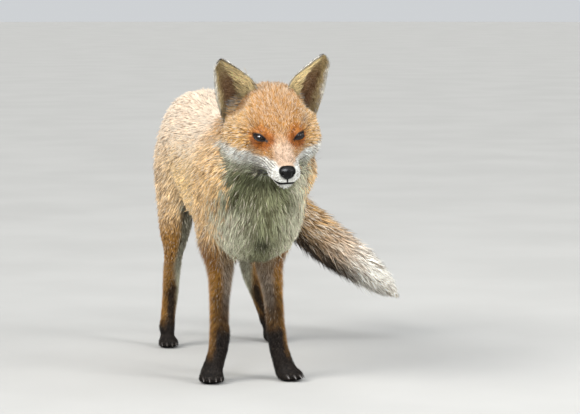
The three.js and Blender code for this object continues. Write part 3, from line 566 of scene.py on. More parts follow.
def dark_round_eyes(points):
    """Share of bare dark skin at each point: the rims of the eyes and the tear lines that run on from them."""
    dark = np.zeros(len(points))
    for eye in EYES.values():
        far, u, v, gaze = round_eye(eye, points)
        rim = 1 - smooth(outside_almond(u, v, DARK_SKIN), -0.4, 0.6)
        scale = eye["radius"] / MM / np.maximum(far, 1e-6)
        rim = np.maximum(rim, 1 - smooth(outside_almond(u * scale, v * scale, LIDS), 0.9, 1.6))
        t = np.clip((TEAR["start"] - u) / TEAR["reach"], 0, 1)
        line = np.hypot(TEAR["start"] - t * TEAR["reach"] - u, -TEAR["drop"] * t * t - v)
        tear = 1 - smooth(line, (1 - t) * TEAR["thick"], (1 - t) * TEAR["thick"] + 0.9)
        dark = np.maximum(dark, np.where((far < 19) & (gaze > -1), np.maximum(rim, 0.8 * tear), 0))
    return dark


class Skin:
    """The finished skin's arrays, which the coat grows on."""

    corners = triangles = normals = label = lie = coat = info = tree = solids = None


def copy_of_solids(names, swell):
    """One object of merged copies of the solids, each swollen a little so that they overlap."""
    copies = []
    for name in names:
        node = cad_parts[name]
        copy = bpy.data.objects.new("part", node.data.copy())
        bpy.context.scene.collection.objects.link(copy)
        use(copy)
        bpy.ops.object.mode_set(mode="EDIT")
        bpy.ops.mesh.select_all(action="SELECT")
        bpy.ops.mesh.remove_doubles(threshold=0.01 * MM)
        bpy.ops.object.mode_set(mode="OBJECT")
        grow = copy.modifiers.new("Grow", "DISPLACE")
        grow.strength, grow.mid_level = swell * MM, 0.0
        bpy.ops.object.modifier_apply(modifier=grow.name)
        copies.append(copy)
    bpy.ops.object.select_all(action="DESELECT")
    for copy in copies:
        copy.select_set(True)
    bpy.context.view_layer.objects.active = copies[0]
    bpy.ops.object.join()
    return bpy.context.view_layer.objects.active


def refine(obj, keep):
    """Divides the faces whose middles pass the test once more."""
    use(obj)
    mesh = obj.data
    middles = np.empty(len(mesh.polygons) * 3, np.float32)
    mesh.polygons.foreach_get("center", middles)
    chosen = keep(Place(middles.reshape(-1, 3).astype(float)))
    bpy.ops.object.mode_set(mode="EDIT")
    bpy.ops.mesh.select_mode(type="FACE")
    bpy.ops.mesh.select_all(action="DESELECT")
    bpy.ops.object.mode_set(mode="OBJECT")
    mesh.polygons.foreach_set("select", chosen)
    bpy.ops.object.mode_set(mode="EDIT")
    bpy.ops.mesh.subdivide(number_cuts=1)
    bpy.ops.object.mode_set(mode="OBJECT")


def mouth_height(ahead):
    return MOUTH["level"] + (ahead - MOUTH["hinge"]) * MOUTH["slope"]


def near_face(place):
    return (place.ahead > -30) & (place.ahead < 90) & (np.abs(place.side) < 62) & (place.up > -75)


def near_detail(place):
    at_lips = (np.abs(place.up - mouth_height(place.ahead)) < 6) & (place.ahead > 2) & (np.abs(place.side) < 30)
    return near_face(place) & ((eye_distance(place)[0] < 15) | at_lips)


def label_of(place_points, tree, regions):
    """The region of the nearest solid, with the head divided into face, crown and cheeks."""
    label = np.array([regions[tree.find_nearest(p)[2]] for p in place_points])
    place = Place(place_points)
    face = is_in(label, "face")
    cheek = face & (np.abs(place.side) > 29) & (place.up < 10) & (place.ahead < 0)
    crown = face & ~cheek & ((place.ahead < -8) | (place.up > 22))
    under = face & (place.up < -40) & (np.abs(place.side) < 30)
    label[crown] = REGIONS.index("crown")
    label[cheek] = REGIONS.index("cheek")
    label[under] = REGIONS.index("lower_jaw")
    return label


def plan_at(place, label):
    """The coat's depth, length, width and number at each place, without steps between one part and the next."""
    depth, length, width, number = np.array([COAT[name][:4] for name in REGIONS])[label].T
    behind = smooth(-place.ahead, -30, 40)
    ruff = smooth(np.abs(place.side), 24, 46) * smooth(-place.up, -20, 8) * smooth(-place.ahead, -25, 5)
    head = is_in(label, "muzzle", "lower_jaw", "face", "crown", "cheek")
    near_eye = smooth(eye_distance(place)[0], 11, 24)
    at_mouth = (1 - smooth(np.abs(place.up - mouth_height(place.ahead)), 2, 10)) * smooth(place.ahead, 5, 25)
    face_depth = (1.6 + 6.5 * behind + 4.0 * ruff) * (0.35 + 0.65 * near_eye) * (1 - 0.6 * at_mouth)
    depth = np.where(head, face_depth, depth)
    length = np.where(head, (5.5 + 9 * behind + 6 * ruff) * (0.55 + 0.45 * near_eye) * (1 - 0.68 * at_mouth), length)
    width = np.where(head, 0.8 + 0.35 * behind + 0.25 * ruff, width)
    under_head = is_in(label, "neck", "breast") * smooth(place.z, 285, 345)
    depth, length = mixed(depth, 9.0, under_head), mixed(length, 28.0, under_head)
    at_ear = head * smooth(np.abs(place.side), 18, 32) * smooth(-place.ahead, 15, 30) * smooth(place.up, 2, 16)
    depth, length = mixed(depth, 3.0, at_ear), mixed(length, 9.0, at_ear * 0.8)
    high = smooth(place.z, 150, 290)
    haunch, hindleg, foreleg = (is_in(label, name) for name in ("haunch", "hindleg", "foreleg"))
    depth = np.where(haunch, mixed(4.5, depth, high), depth)
    length = np.where(haunch, mixed(12.0, length, high), length)
    width = np.where(haunch, mixed(1.5, width, high), width)
    number = np.where(haunch, mixed(24.0, number, high), number)
    rise = smooth(place.z, 40, 110)
    depth = np.where(foreleg | hindleg, mixed(1.8, depth, rise), depth)
    length = np.where(foreleg | hindleg, mixed(6.0, length, rise), length)
    shoulder = smooth(place.z, 150, 240) * foreleg
    depth, length = mixed(depth, 12.0, shoulder), mixed(length, 26.0, shoulder)
    width, number = mixed(width, 1.8, shoulder), mixed(number, 30.0, shoulder)
    tail = is_in(label, *TAIL)
    if tail.any():
        share, middle = along_brush(place)
        radius = np.linalg.norm(place.body - middle, axis=1)
        depth = np.where(tail, np.minimum(depth, 0.68 * radius), depth)
    return np.stack((depth, length, width, number), 1)


def shape_crown(corners, label):
    """Lowers the crown before each ear to a slope, so that the ear's opening shows down to its base."""
    place = Place(corners)
    side, back = np.abs(place.side), -place.ahead
    limit = EYE_MIDDLE[2] + np.interp(side, *EAR_FOOT) + 0.04 * place.side
    over = np.logaddexp(0, (place.z - limit) / 3) * 3
    cup = 24 * np.clip(1 - ((side - 46) / 30) ** 2, 0, 1)
    there = smooth(side, 16, 30) * (1 - smooth(side, 84, 96)) * smooth(back, 8, 26) * smooth(72 + cup - back, 0, 8)
    there = there * is_in(label, "face", "crown", "cheek", "neck")
    return corners - np.array((0, 0, MM)) * (over * there)[:, None]


def shape_cheeks(corners, label):
    """Draws the cheeks in to their width under the ruff, at each height over the eyes."""
    place = Place(corners)
    side = np.abs(place.side)
    limit = np.interp(place.z - EYE_MIDDLE[2] - 0.04 * place.side, *CHEEK_WIDTH)
    over = np.logaddexp(0, (side - limit) / 3) * 3 * (1 - smooth(-place.ahead, 85, 110))
    over = over * is_in(label, "face", "crown", "cheek", "lower_jaw")
    return corners - np.outer(np.sign(place.side) * over * MM, head_direction(1, 0, 0))


def shape_lids(corners):
    """Wraps the skin over the eyeballs as lids, with a thick dark rim round the opening."""
    for eye in EYES.values():
        local = (corners - eye["middle"]) / MM
        radius = eye["radius"] / MM
        far, u, v, gaze = round_eye(eye, corners)
        near = (far < 17) & (gaze > 0)
        scale = radius / np.maximum(far, 1e-6)
        gap = outside_almond(u * scale, v * scale, LIDS)
        rim = radius + np.where(v > 0, 1.5, 1.0)
        inside = radius - 2.2
        natural = np.maximum(far, radius + 0.6)
        outer = rim + (natural - rim) * smooth(gap, 0.8, 6.5)
        target = np.where(gap < 0, inside + (rim - inside) * smooth(gap, -0.9, 0.15), outer)
        target = np.where(near, far + (target - far) * smooth(-far, -17, -14), far)
        corners = eye["middle"] + unit(local) * target[:, None] * MM
    return corners


def shape_mouth(corners, normals):
    """Presses the line of the lips into the muzzle, with the upper lip hanging a little over it."""
    place = Place(corners)
    above = place.up - mouth_height(place.ahead)
    on_lips = smooth(place.ahead, 8, 16) * (np.abs(place.side) < 30)
    groove = 3.2 * np.exp(-((above / 1.5) ** 2)) - 0.7 * np.exp(-(((above - 3.2) / 2) ** 2))
    philtrum = 0.9 * np.exp(-((place.side / 0.9) ** 2)) * smooth(place.ahead, 66, 72) * (above > 0)
    return corners - normals * ((groove * on_lips + philtrum) * MM)[:, None]


def shape_nose(corners):
    """Sets the skin back under the nose leather."""
    place = Place(corners)
    back = np.maximum(place.ahead - 70.5, 0) * (1 - smooth(inside_nose(place), 0.75, 1.0))
    return corners - head_direction(0, 1, 0) * (back * MM)[:, None]


def ear_surface(side, high, across, depth):
    """Points of an ear: a share of its height, a share of the way from its inner to its outer rim."""
    inner, outer = (curve_at(rim, high) for rim in (EAR_INNER, EAR_OUTER))
    points = mixed(inner, outer, across)
    arch = 1 - (2 * across - 1) ** 2
    hollow = EAR_CUP * np.sqrt(np.clip(1 - high, 0, 1)) * (1 - 0.15 * high) * arch
    fold = 4.5 * np.exp(-(((across - 0.27) / 0.09) ** 2)) * smooth(high, -0.1, 0.15) * (1 - smooth(high, 0.35, 0.7))
    rim = 1.2 * np.exp(-((np.minimum(across, 1 - across) / 0.06) ** 2))
    back = points[:, 2] + hollow - fold - rim + depth * (1.1 + 1.3 * arch) * (1 - 0.3 * np.maximum(high, 0)) + 0.5
    return np.stack((side * points[:, 0], -back, points[:, 1]), 1)


def ear_arrays(side, rows=30, columns=17):
    """An ear's corners, triangles and, for each corner, its region, share of height and share across."""
    high = np.linspace(-0.25, 1, rows)
    across = np.linspace(0, 1, columns)
    loops = np.concatenate((across, across[::-1]))
    is_back = np.arange(2 * columns) >= columns
    corners = np.concatenate([ear_surface(side, np.full(len(loops), h), loops, is_back * 1.0) for h in high])
    info = np.stack((np.repeat(high, len(loops)), np.tile(loops, rows), np.zeros(rows * len(loops))), 1)
    label = np.where(np.tile(is_back, rows), REGIONS.index("ear_back"), REGIONS.index("ear_front"))
    spokes = len(loops)
    faces = []
    for r in range(rows - 1):
        for s in range(spokes):
            a, b = r * spokes + s, r * spokes + (s + 1) % spokes
            faces += [(a, b, b + spokes), (a, b + spokes, a + spokes)]
    for base, flip in ((0, False), ((rows - 1) * spokes, True)):
        for s in range(columns - 1):
            a, b, c, d = base + s, base + s + 1, base + spokes - 2 - s, base + spokes - 1 - s
            faces += [(a, b, c), (a, c, d)] if flip else [(a, c, b), (a, d, c)]
    triangles = np.array(faces)
    points = head_to_frame(corners)
    a, b, c = (points[triangles[:, k]] for k in range(3))
    if dot(a, np.cross(b, c)).sum() < 0:
        triangles = triangles[:, ::-1]
    return points, triangles, label, info


def ear_lie(label, info, side):
    """Hair lies up the back of an ear, and from the rims across its front."""
    up = head_direction(0.3 * side, 0, 1)
    out = head_direction(side, 0.25, 0)
    lie = np.tile(up, (len(label), 1))
    front = is_in(label, "ear_front")
    across = info[:, 1]
    from_inner = unit(np.outer(1 - smooth(across, 0.55, 0.8), out) * 1.2 + up * 0.35)
    from_outer = unit(-out * 0.5 + up)
    lie[front] = mixed(from_inner, np.tile(from_outer, (len(label), 1)), smooth(across, 0.6, 0.85))[front]
    return unit(lie)


class FOX_OT_skin(bpy.types.Operator):
    """Makes one skin from the solids of flesh, pressed inwards by the coat's depth"""

    bl_idname = "fox.skin"
    bl_label = "Skin"

    def execute(self, context):
        sizes = context.scene.fox_sizes
        body_nodes = [name for name in FLESH if not name.startswith("ear")]
        body = copy_of_solids([*body_nodes, "nose", "eye_right", "eye_left"], 0.4)
        solid_tree, solid_region = region_tree(FLESH)
        body.data.remesh_voxel_size = sizes.skin_detail
        bpy.ops.object.voxel_remesh()
        refine(body, near_face)
        refine(body, near_detail)
        corners, triangles, edges = corners_of(body), triangles_of(body), edges_of(body)
        label = label_of(corners, solid_tree, solid_region)
        place = Place(corners)
        calm = np.where(is_in(label, "paw"), 0.12, np.where(is_in(label, "muzzle", "lower_jaw"), 0.25, 0.5))
        calm = calm * (1 - 0.75 * near_detail(place))
        corners = even_out(corners, edges, 14, calm)
        coat = even_out(plan_at(place, label), edges, 24)
        coat[:, 0] *= sizes.coat_depth
        depth = coat[:, 0]
        step = 8
        for _ in range(step):
            corners = corners - normals_of(corners, triangles) * (depth * MM / step)[:, None]
            corners = even_out(corners, edges, 1, calm * 0.6)
        corners[:, 2] = np.maximum(corners[:, 2], 0.2 * MM)
        corners = shape_lids(shape_cheeks(shape_crown(corners, label), label))
        corners = shape_nose(shape_mouth(corners, normals_of(corners, triangles)))
        normals = normals_of(corners, triangles)
        lie = lie_at(Place(corners), label, normals)
        lie = unit(even_out(lie, edges, 16))
        info = np.zeros((len(corners), 3))

        parts = [(corners, triangles, label, lie, coat, info)]
        for side in (-1, 1):
            points, faces, ear_label, ear_info = ear_arrays(side)
            ear_coat = np.array([COAT[name][:4] for name in REGIONS])[ear_label]
            parts.append((points, faces, ear_label, ear_lie(ear_label, ear_info, side), ear_coat, ear_info))
        starts = np.cumsum([0, *(len(part[0]) for part in parts)])
        Skin.corners = np.concatenate([part[0] for part in parts])
        Skin.triangles = np.concatenate([part[1] + start for part, start in zip(parts, starts)])
        Skin.label = np.concatenate([part[2] for part in parts])
        Skin.normals = normals_of(Skin.corners, Skin.triangles)
        lie = np.concatenate([part[3] for part in parts])
        Skin.lie = unit(lie - Skin.normals * dot(lie, Skin.normals)[:, None])
        Skin.coat = np.concatenate([part[4] for part in parts])
        Skin.info = np.concatenate([part[5] for part in parts])
        Skin.tree = BVHTree.FromPolygons(Skin.corners.tolist(), Skin.triangles.tolist())
        Skin.solids = solid_tree
        bpy.data.objects.remove(body)

        skin = mesh_from("skin", Skin.corners, Skin.triangles)
        tone, _, _, underfur_and_shade = markings(Place(Skin.corners), Skin.label, Skin.info)
        bare = bareness(Skin.corners, Skin.label)
        # The skin under the coat is darkened as painted shade beneath the locks, together with the underfur's own
        # colour; bare places take the black rim colour.
        paint(skin, "tone", mixed(tone * (1 - 0.75 * underfur_and_shade)[:, None], np.tile(np.array(context.scene.fox_colours.rim), (len(tone), 1)), bare))
        paint(skin, "bare", np.repeat(bare[:, None], 3, 1))
        skin.data.materials.append(skin_material())
        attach(skin, "root")
        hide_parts(*FLESH)
        return {"FINISHED"}


def region_tree(names):
    """A search tree over the solids and the region of each of its faces."""
    corners, faces, regions = [], [], []
    for name in names:
        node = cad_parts[name]
        start = len(corners)
        corners += [tuple(v.co) for v in node.data.vertices]
        faces += [[start + i for i in p.vertices] for p in node.data.polygons]
        regions += [REGIONS.index(region_of_node(name))] * len(node.data.polygons)
    return BVHTree.FromPolygons(corners, faces), np.array(regions)


def lip_band(ahead):
    """How far the middle of the dark lips lies below the line of the mouth, and half their height."""
    return np.interp(ahead, (45, 66), (0.9, 1.9)), np.interp(ahead, (45, 66), (1.3, 3.3))


def bareness(corners, label):
    """Where the skin is bare and dark: rims of the eyes, tear lines, lips."""
    place = Place(corners)
    above = place.up - mouth_height(place.ahead)
    below, half = lip_band(place.ahead)
    lips = (1 - smooth(np.abs(above + below), half, half + 1)) * smooth(place.ahead, 12, 30) * (np.abs(place.side) < 30)
    cleft = (1 - smooth(np.abs(place.side) - 0.14 * np.clip(above, 0, 10), 0.2, 0.9)) * (np.abs(above - 5) < 5)
    cleft = cleft * smooth(place.ahead, 62, 68)
    lips = np.maximum(lips, cleft)
    return np.maximum(dark_round_eyes(corners), lips * is_in(label, "muzzle", "lower_jaw", "face", "cheek"))


def inside_nose(place):
    """How far out a place is from the middle of the nose leather, as a share of its half width and height."""
    return np.hypot(place.side / NOSE["half"], (place.up - NOSE["level"]) / NOSE["height"])


# ---------------------------------------------------------------- coat

# A lock is a thin spike of three sides, bent once; a short hair is a straight one.
LOCK_FACES = np.array((
    (2, 1, 0), (4, 3, 0), (1, 4, 0), (5, 4, 1), (2, 5, 1), (3, 5, 2), (0, 3, 2), (4, 6, 3), (5, 6, 4), (3, 6, 5),
))
HAIR_FACES = np.array(((2, 1, 0), (1, 3, 0), (2, 3, 1), (0, 3, 2)))
PATCH = 0.003


def unwrap(place, label, info):
    """Each place on an unwrap of the skin: a chart, the turn round that part's own middle line, and the way along it."""
    chart = np.zeros(len(place.x), int)
    turn = np.arctan2(place.x, place.z - 320)
    along = place.y.copy()
    head = is_in(label, "muzzle", "lower_jaw", "face", "crown", "cheek")
    chart[head], turn[head] = 1, np.arctan2(place.side, place.up + 20)[head]
    along[head] = place.ahead[head]
    front = is_in(label, "neck", "breast")
    chart[front], turn[front] = 2, np.arctan2(place.x, -place.y + 10)[front]
    along[front] = place.z[front]
    axis = leg_axes(place)
    legs = is_in(label, "foreleg", "haunch", "hindleg", "paw")
    chart[legs] = 3 + axis[legs, 2].astype(int)
    turn[legs] = np.arctan2(place.x - axis[:, 0], place.y - axis[:, 1])[legs]
    along[legs] = place.z[legs]
    tail = is_in(label, *TAIL)
    if tail.any():
        share, middle = along_brush(place)
        off = place.body - middle
        chart[tail], along[tail] = 7, share[tail]
        turn[tail] = np.arctan2(off[:, 1], off[:, 2])[tail]
    for number, name in ((8, "ear_front"), (9, "ear_back")):
        ear = is_in(label, name)
        chart[ear] = number + 2 * (place.side[ear] > 0)
        turn[ear], along[ear] = info[ear, 1], info[ear, 0]
    return chart, turn, along


def bake_places(place, label, info):
    """The middle of each lock's own patch of the bake map."""
    chart, turn, along = unwrap(place, label, info)
    kinds, chart = np.unique(chart, return_inverse=True)
    columns = math.ceil(math.sqrt(len(kinds)))
    out = np.empty((len(chart), 2))
    for k in range(len(kinds)):
        mine = chart == k
        cell = np.array((k % columns, k // columns))
        for j, values in enumerate((turn, along)):
            low, high = values[mine].min(), values[mine].max() + 1e-6
            share = (values[mine] - low) / (high - low)
            out[mine, j] = (cell[j] + 0.02 + 0.96 * share) / columns
    return np.clip(out, PATCH, 1 - PATCH)


def chosen_roots(chosen, share, most, rng):
    """Places on the chosen triangles, evenly strewn by each region's own number to the square centimetre."""
    triangles = Skin.triangles[chosen]
    a, b, c = (Skin.corners[triangles[:, k]] for k in range(3))
    area = np.linalg.norm(np.cross(b - a, c - a), axis=1) / 2 * 1e4
    wanted = area * Skin.coat[triangles, 3].mean(1) * share
    total = wanted.sum()
    count = int(min(total, most))
    picks = (np.arange(count) + rng.random(count)) * total / count
    picked = np.searchsorted(np.cumsum(wanted), picks).clip(0, len(triangles) - 1)
    u, v = rng.random((2, count))
    over = u + v > 1
    u[over], v[over] = 1 - u[over], 1 - v[over]
    return triangles[picked], np.stack((1 - u - v, u, v), 1), int(total)


def beyond_solids(points):
    """How far each point stands out of the solids."""
    out = np.empty(len(points))
    for i, point in enumerate(points):
        near, facing, _, _ = Skin.solids.find_nearest(point)
        gap = Vector(point) - near
        out[i] = math.copysign(gap.length, gap.dot(facing))
    return out


def tufts_of(root, rng, per=7):
    """Which lock each one leans towards, so that they gather into tufts, and a shade for each tuft."""
    count = len(root)
    heads = np.flatnonzero(rng.random(count) < 1 / per)
    tree = KDTree(len(heads))
    for k, head in enumerate(heads):
        tree.insert(root[head], k)
    tree.balance()
    nearest = np.array([tree.find(point)[1] for point in root])
    return rng.normal(size=len(heads))[nearest], heads[nearest]


def grow(
    name, regions, slot, kind="lock", share=1.0, most=19500, where=None, longer=1.0, cling=0.55, wild=1.0, lift=1.0,
    ragged=2.6, gather=0.35, tint=None,
):
    """One piece of coat over some regions of the skin, as a mesh of many thin solid locks or short hairs."""
    rng = np.random.default_rng(SEED + sum(map(ord, name)))
    chosen = is_in(Skin.label[Skin.triangles[:, 0]], *regions)
    if where is not None:
        chosen &= where(Place(Skin.corners[Skin.triangles].mean(1)), Skin.info[Skin.triangles].mean(1))
    corner, weight, total = chosen_roots(chosen, share, most, rng)
    take = lambda field: np.einsum("ij,ijk->ik", weight, field[corner])
    root, lie, coat, info = (take(field) for field in (Skin.corners, Skin.lie, Skin.coat, Skin.info))
    normal = unit(take(Skin.normals))
    label = Skin.label[corner[:, 0]]
    keep = bareness(root, label) < 0.12
    place = Place(root)
    keep &= (place.ahead < 60) | (inside_nose(place) > 1.12)
    short = np.ones(len(root))
    for share in (0.3, 0.6, 0.9):
        on = Place(root + unit(lie) * (coat[:, 1] * share * MM)[:, None])
        below, half = lip_band(on.ahead)
        reach = half + np.interp(on.ahead, (55, 62), (0.8, 2.4))
        at_lips = np.abs(on.up - mouth_height(on.ahead) + below) < reach * smooth(on.ahead, 14, 40)
        short = np.where(at_lips & (np.abs(on.side) < 30), np.minimum(short, share), short)
    keep &= short > np.where(place.ahead > 55, 0.6, 0.3)
    root, lie, coat, info, normal, label, short = (f[keep] for f in (root, lie, coat, info, normal, label, short))
    place = Place(root)
    count = len(root)

    lie = unit(lie - normal * dot(lie, normal)[:, None])
    across = np.cross(normal, lie)
    sway = np.radians(9 * ripple(place.body, 38, 11) + 6 * ripple(place.body, 11, 12) + rng.normal(0, 8 * wild, count))
    lie = lie * np.cos(sway)[:, None] + across * np.sin(sway)[:, None]
    across = np.cross(normal, lie)
    depth, length, width = (coat[:, k] * MM for k in range(3))
    length = length * rng.uniform(0.72, 1.15, count) * longer * np.where(short < 1, short - 0.25, 1)
    guard = rng.random(count) < 0.25
    height = depth * np.where(guard, rng.uniform(0.9, 1.25, count), rng.uniform(0.55, 0.95, count)) * lift
    width = width * rng.uniform(0.7, 1.25, count)
    allowed = np.minimum(rng.exponential(ragged, count), 9) * MM
    for _ in range(3):
        over = beyond_solids(root + lie * length[:, None] + normal * height[:, None]) > allowed
        length[over] *= 0.72
        height[over] *= 0.85
    tone, pale_tip, dark_tip, underfur_and_shade = markings(Place(root + lie * (length * 0.55)[:, None]), label, info, rng)
    if tint is not None:
        ends = smooth(info[:, 0], 0.0, 0.35) * (1 - smooth(info[:, 0], 0.75, 0.95))
        tone = np.outer(mixed(0.4, 1.0, ends), getattr(bpy.context.scene.fox_colours, tint))
    pale_tip = np.where(rng.random(count) < pale_tip, rng.uniform(0.55, 1.0, count), 0)
    dark_tip = np.where((rng.random(count) < dark_tip) & (pale_tip == 0), rng.uniform(0.5, 1.0, count), 0)

    def spot(t, rise):
        """Where a lock's middle line runs at a share of its length: partly straight on, partly along the skin."""
        straight = root + lie * (length * t)[:, None]
        wrapped = np.empty_like(root)
        facing = np.empty_like(root)
        for i, p in enumerate(straight + normal * (depth * 0.3)[:, None]):
            near, face_normal, _, _ = Skin.tree.find_nearest(p)
            wrapped[i], facing[i] = near, face_normal
        facing = unit(facing + normal * 0.8)
        above = (height * rise)[:, None]
        point = mixed(straight + normal * above, wrapped + facing * above, np.full(count, cling))
        return point, unit(mixed(normal, facing, np.full(count, cling)))

    def ring(point, up, size):
        side = unit(np.cross(up, lie))
        half = (width * size / 2)[:, None]
        return np.stack((point - side * half, point + side * half, point + up * half * 0.75), 1)

    tuft, gathered = tufts_of(root, rng)
    shade = np.clip(0.5 + 0.23 * rng.normal(size=count) + 0.19 * tuft + 0.08 * ripple(place.body, 9, 13), 0, 1)
    base = ring(root - normal * (0.4 * MM), normal, 0.8)
    if kind == "lock":
        middle, middle_up = spot(0.5, 0.62)
        tip, _ = spot(0.96, 1.0)
        middle += across * (rng.normal(0, 0.035, count) * length)[:, None]
        tip += across * (rng.normal(0, 0.07 * wild, count) * length)[:, None]
        pull = (gather * rng.uniform(0.5, 1.0, count))[:, None]
        tip += (tip[gathered] - tip) * pull
        corners = np.concatenate((base, ring(middle, middle_up, 1.0), tip[:, None]), 1)
        faces, steps = LOCK_FACES, (0, 0, 0, 0.5, 0.5, 0.5, 1)
    else:
        tip = root + lie * (length * 0.92)[:, None] + normal * (height * 1.25 + length * 0.12)[:, None]
        corners = np.concatenate((base, tip[:, None]), 1)
        faces, steps = HAIR_FACES, (0, 0, 0, 1)
    size = len(steps)
    triangles = (faces[None] + (np.arange(count) * size)[:, None, None]).reshape(-1, 3)
    corners[:, :, 2] = np.maximum(corners[:, :, 2], 0.3 * MM)
    corners = corners.reshape(-1, 3)
    obj = mesh_from(name, corners, triangles)
    shading = unit(normals_of(corners, triangles) * 0.55 + np.repeat(normal, size, 0))
    obj.data.normals_split_custom_set_from_vertices(shading)
    paint(obj, "tone", np.repeat(tone, size, 0))
    strand = np.stack((np.tile(steps, count), np.repeat(shade, size), np.repeat(pale_tip, size)), 1)
    paint(obj, "strand", strand)
    paint(obj, "ends", np.repeat(np.stack((dark_tip, underfur_and_shade, underfur_and_shade), 1), size, 0))
    patch = np.array([((k % 3) / 2 - 0.5 if k < size - 1 else 0, step - 0.5) for k, step in enumerate(steps)])
    spots = bake_places(place, label, info)[:, None] + patch * PATCH
    layer = obj.data.uv_layers.new(name="OFBake")
    layer.data.foreach_set("uv", spots.reshape(-1, 2)[triangles.ravel()].astype(np.float32).ravel())
    obj.data.materials.append(coat_material())
    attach(obj, "root")
    print(f"{name}: {count} of {total} wanted, {len(triangles)} triangles")
    return obj


# ---------------------------------------------------------------- materials


def add(tree, kind, **settings):
    node = tree.nodes.new(kind)
    for key, value in settings.items():
        setattr(node, key, value)
    return node


def math_node(tree, operation, a, b=None, clamp=False):
    node = add(tree, "ShaderNodeMath", operation=operation, use_clamp=clamp)
    for socket, value in zip(node.inputs, (a, b)):
        if value is None:
            continue
        if isinstance(value, (int, float)):
            socket.default_value = value
        else:
            tree.links.new(value, socket)
    return node.outputs[0]


def ranged(tree, value, low, high, to_low=0.0, to_high=1.0):
    node = add(tree, "ShaderNodeMapRange", interpolation_type="SMOOTHSTEP")
    tree.links.new(value, node.inputs["Value"])
    for key, number in (("From Min", low), ("From Max", high), ("To Min", to_low), ("To Max", to_high)):
        node.inputs[key].default_value = number
    return node.outputs["Result"]


def mix_colour(tree, share, a, b, blend="MIX"):
    node = add(tree, "ShaderNodeMix", data_type="RGBA", blend_type=blend)
    sockets = [s for s in node.inputs if s.enabled]
    for socket, value in zip(sockets, (share, a, b)):
        if isinstance(value, (int, float)):
            socket.default_value = value
        elif isinstance(value, (tuple, list)):
            socket.default_value = (*value[:3], 1)
        else:
            tree.links.new(value, socket)
    return next(s for s in node.outputs if s.enabled)


def attribute(tree, name):
    return add(tree, "ShaderNodeAttribute", attribute_name=name).outputs["Color"]


def channels(tree, colour):
    node = add(tree, "ShaderNodeSeparateColor")
    tree.links.new(colour, node.inputs[0])
    return node.outputs


def hair_group():
    """A node group that bands a hair from a darkened root to a pale or dark tip, and varies it from hair to hair; the
    root's darkening is the underfur's own colour together with painted shade between the locks.
    """
    if "Hair banding" in bpy.data.node_groups:
        return bpy.data.node_groups["Hair banding"]
    tree = bpy.data.node_groups.new("Hair banding", "ShaderNodeTree")
    for name, kind in (
        ("Tone", "NodeSocketColor"), ("Strand", "NodeSocketColor"), ("Dark tip", "NodeSocketFloat"),
        ("Pale", "NodeSocketColor"), ("Root shade", "NodeSocketFloat"),
    ):
        tree.interface.new_socket(name, in_out="INPUT", socket_type=kind)
    tree.interface.new_socket("Color", in_out="OUTPUT", socket_type="NodeSocketColor")
    tree.interface.new_socket("Roughness", in_out="OUTPUT", socket_type="NodeSocketFloat")
    start, end = add(tree, "NodeGroupInput"), add(tree, "NodeGroupOutput")
    along, random, pale = channels(tree, start.outputs["Strand"])
    root = math_node(tree, "SUBTRACT", 1.0, ranged(tree, along, 0.0, 0.55))
    underfur_and_shade = math_node(tree, "MULTIPLY", root, start.outputs["Root shade"])
    body = mix_colour(tree, underfur_and_shade, start.outputs["Tone"], (0.10, 0.075, 0.055))
    bright = mix_colour(tree, 1.0, body, mix_colour(tree, random, (0.30, 0.25, 0.21), (1.6, 1.66, 1.72)), "MULTIPLY")
    pale_share = math_node(tree, "MULTIPLY", ranged(tree, along, 0.45, 0.85), pale)
    tipped = mix_colour(tree, pale_share, bright, start.outputs["Pale"])
    dark_share = math_node(tree, "MULTIPLY", ranged(tree, along, 0.72, 1.0), start.outputs["Dark tip"])
    out = mix_colour(tree, dark_share, tipped, (0.045, 0.032, 0.025))
    tree.links.new(out, end.inputs["Color"])
    tree.links.new(ranged(tree, random, 0.0, 1.0, 0.62, 0.85), end.inputs["Roughness"])
    return tree


def new_material(name):
    material = bpy.data.materials.get(name)
    if material:
        return material, None, None
    material = bpy.data.materials.new(name)
    material.use_nodes = True
    tree = material.node_tree
    return material, tree, tree.nodes["Principled BSDF"]


def coat_material():
    material, tree, shader = new_material("Fox coat")
    if tree is None:
        return material
    colours = bpy.context.scene.fox_colours
    group = add(tree, "ShaderNodeGroup", node_tree=hair_group())
    tree.links.new(attribute(tree, "tone"), group.inputs["Tone"])
    tree.links.new(attribute(tree, "strand"), group.inputs["Strand"])
    ends = channels(tree, attribute(tree, "ends"))
    tree.links.new(ends[0], group.inputs["Dark tip"])
    tree.links.new(ends[1], group.inputs["Root shade"])
    group.inputs["Pale"].default_value = (*colours.tip, 1)
    tree.links.new(group.outputs["Color"], shader.inputs["Base Color"])
    tree.links.new(group.outputs["Roughness"], shader.inputs["Roughness"])
    shader.inputs["Specular IOR Level"].default_value = 0.08
    shader.inputs["Sheen Weight"].default_value = 0.06
    shader.inputs["Sheen Roughness"].default_value = 0.5
    return material


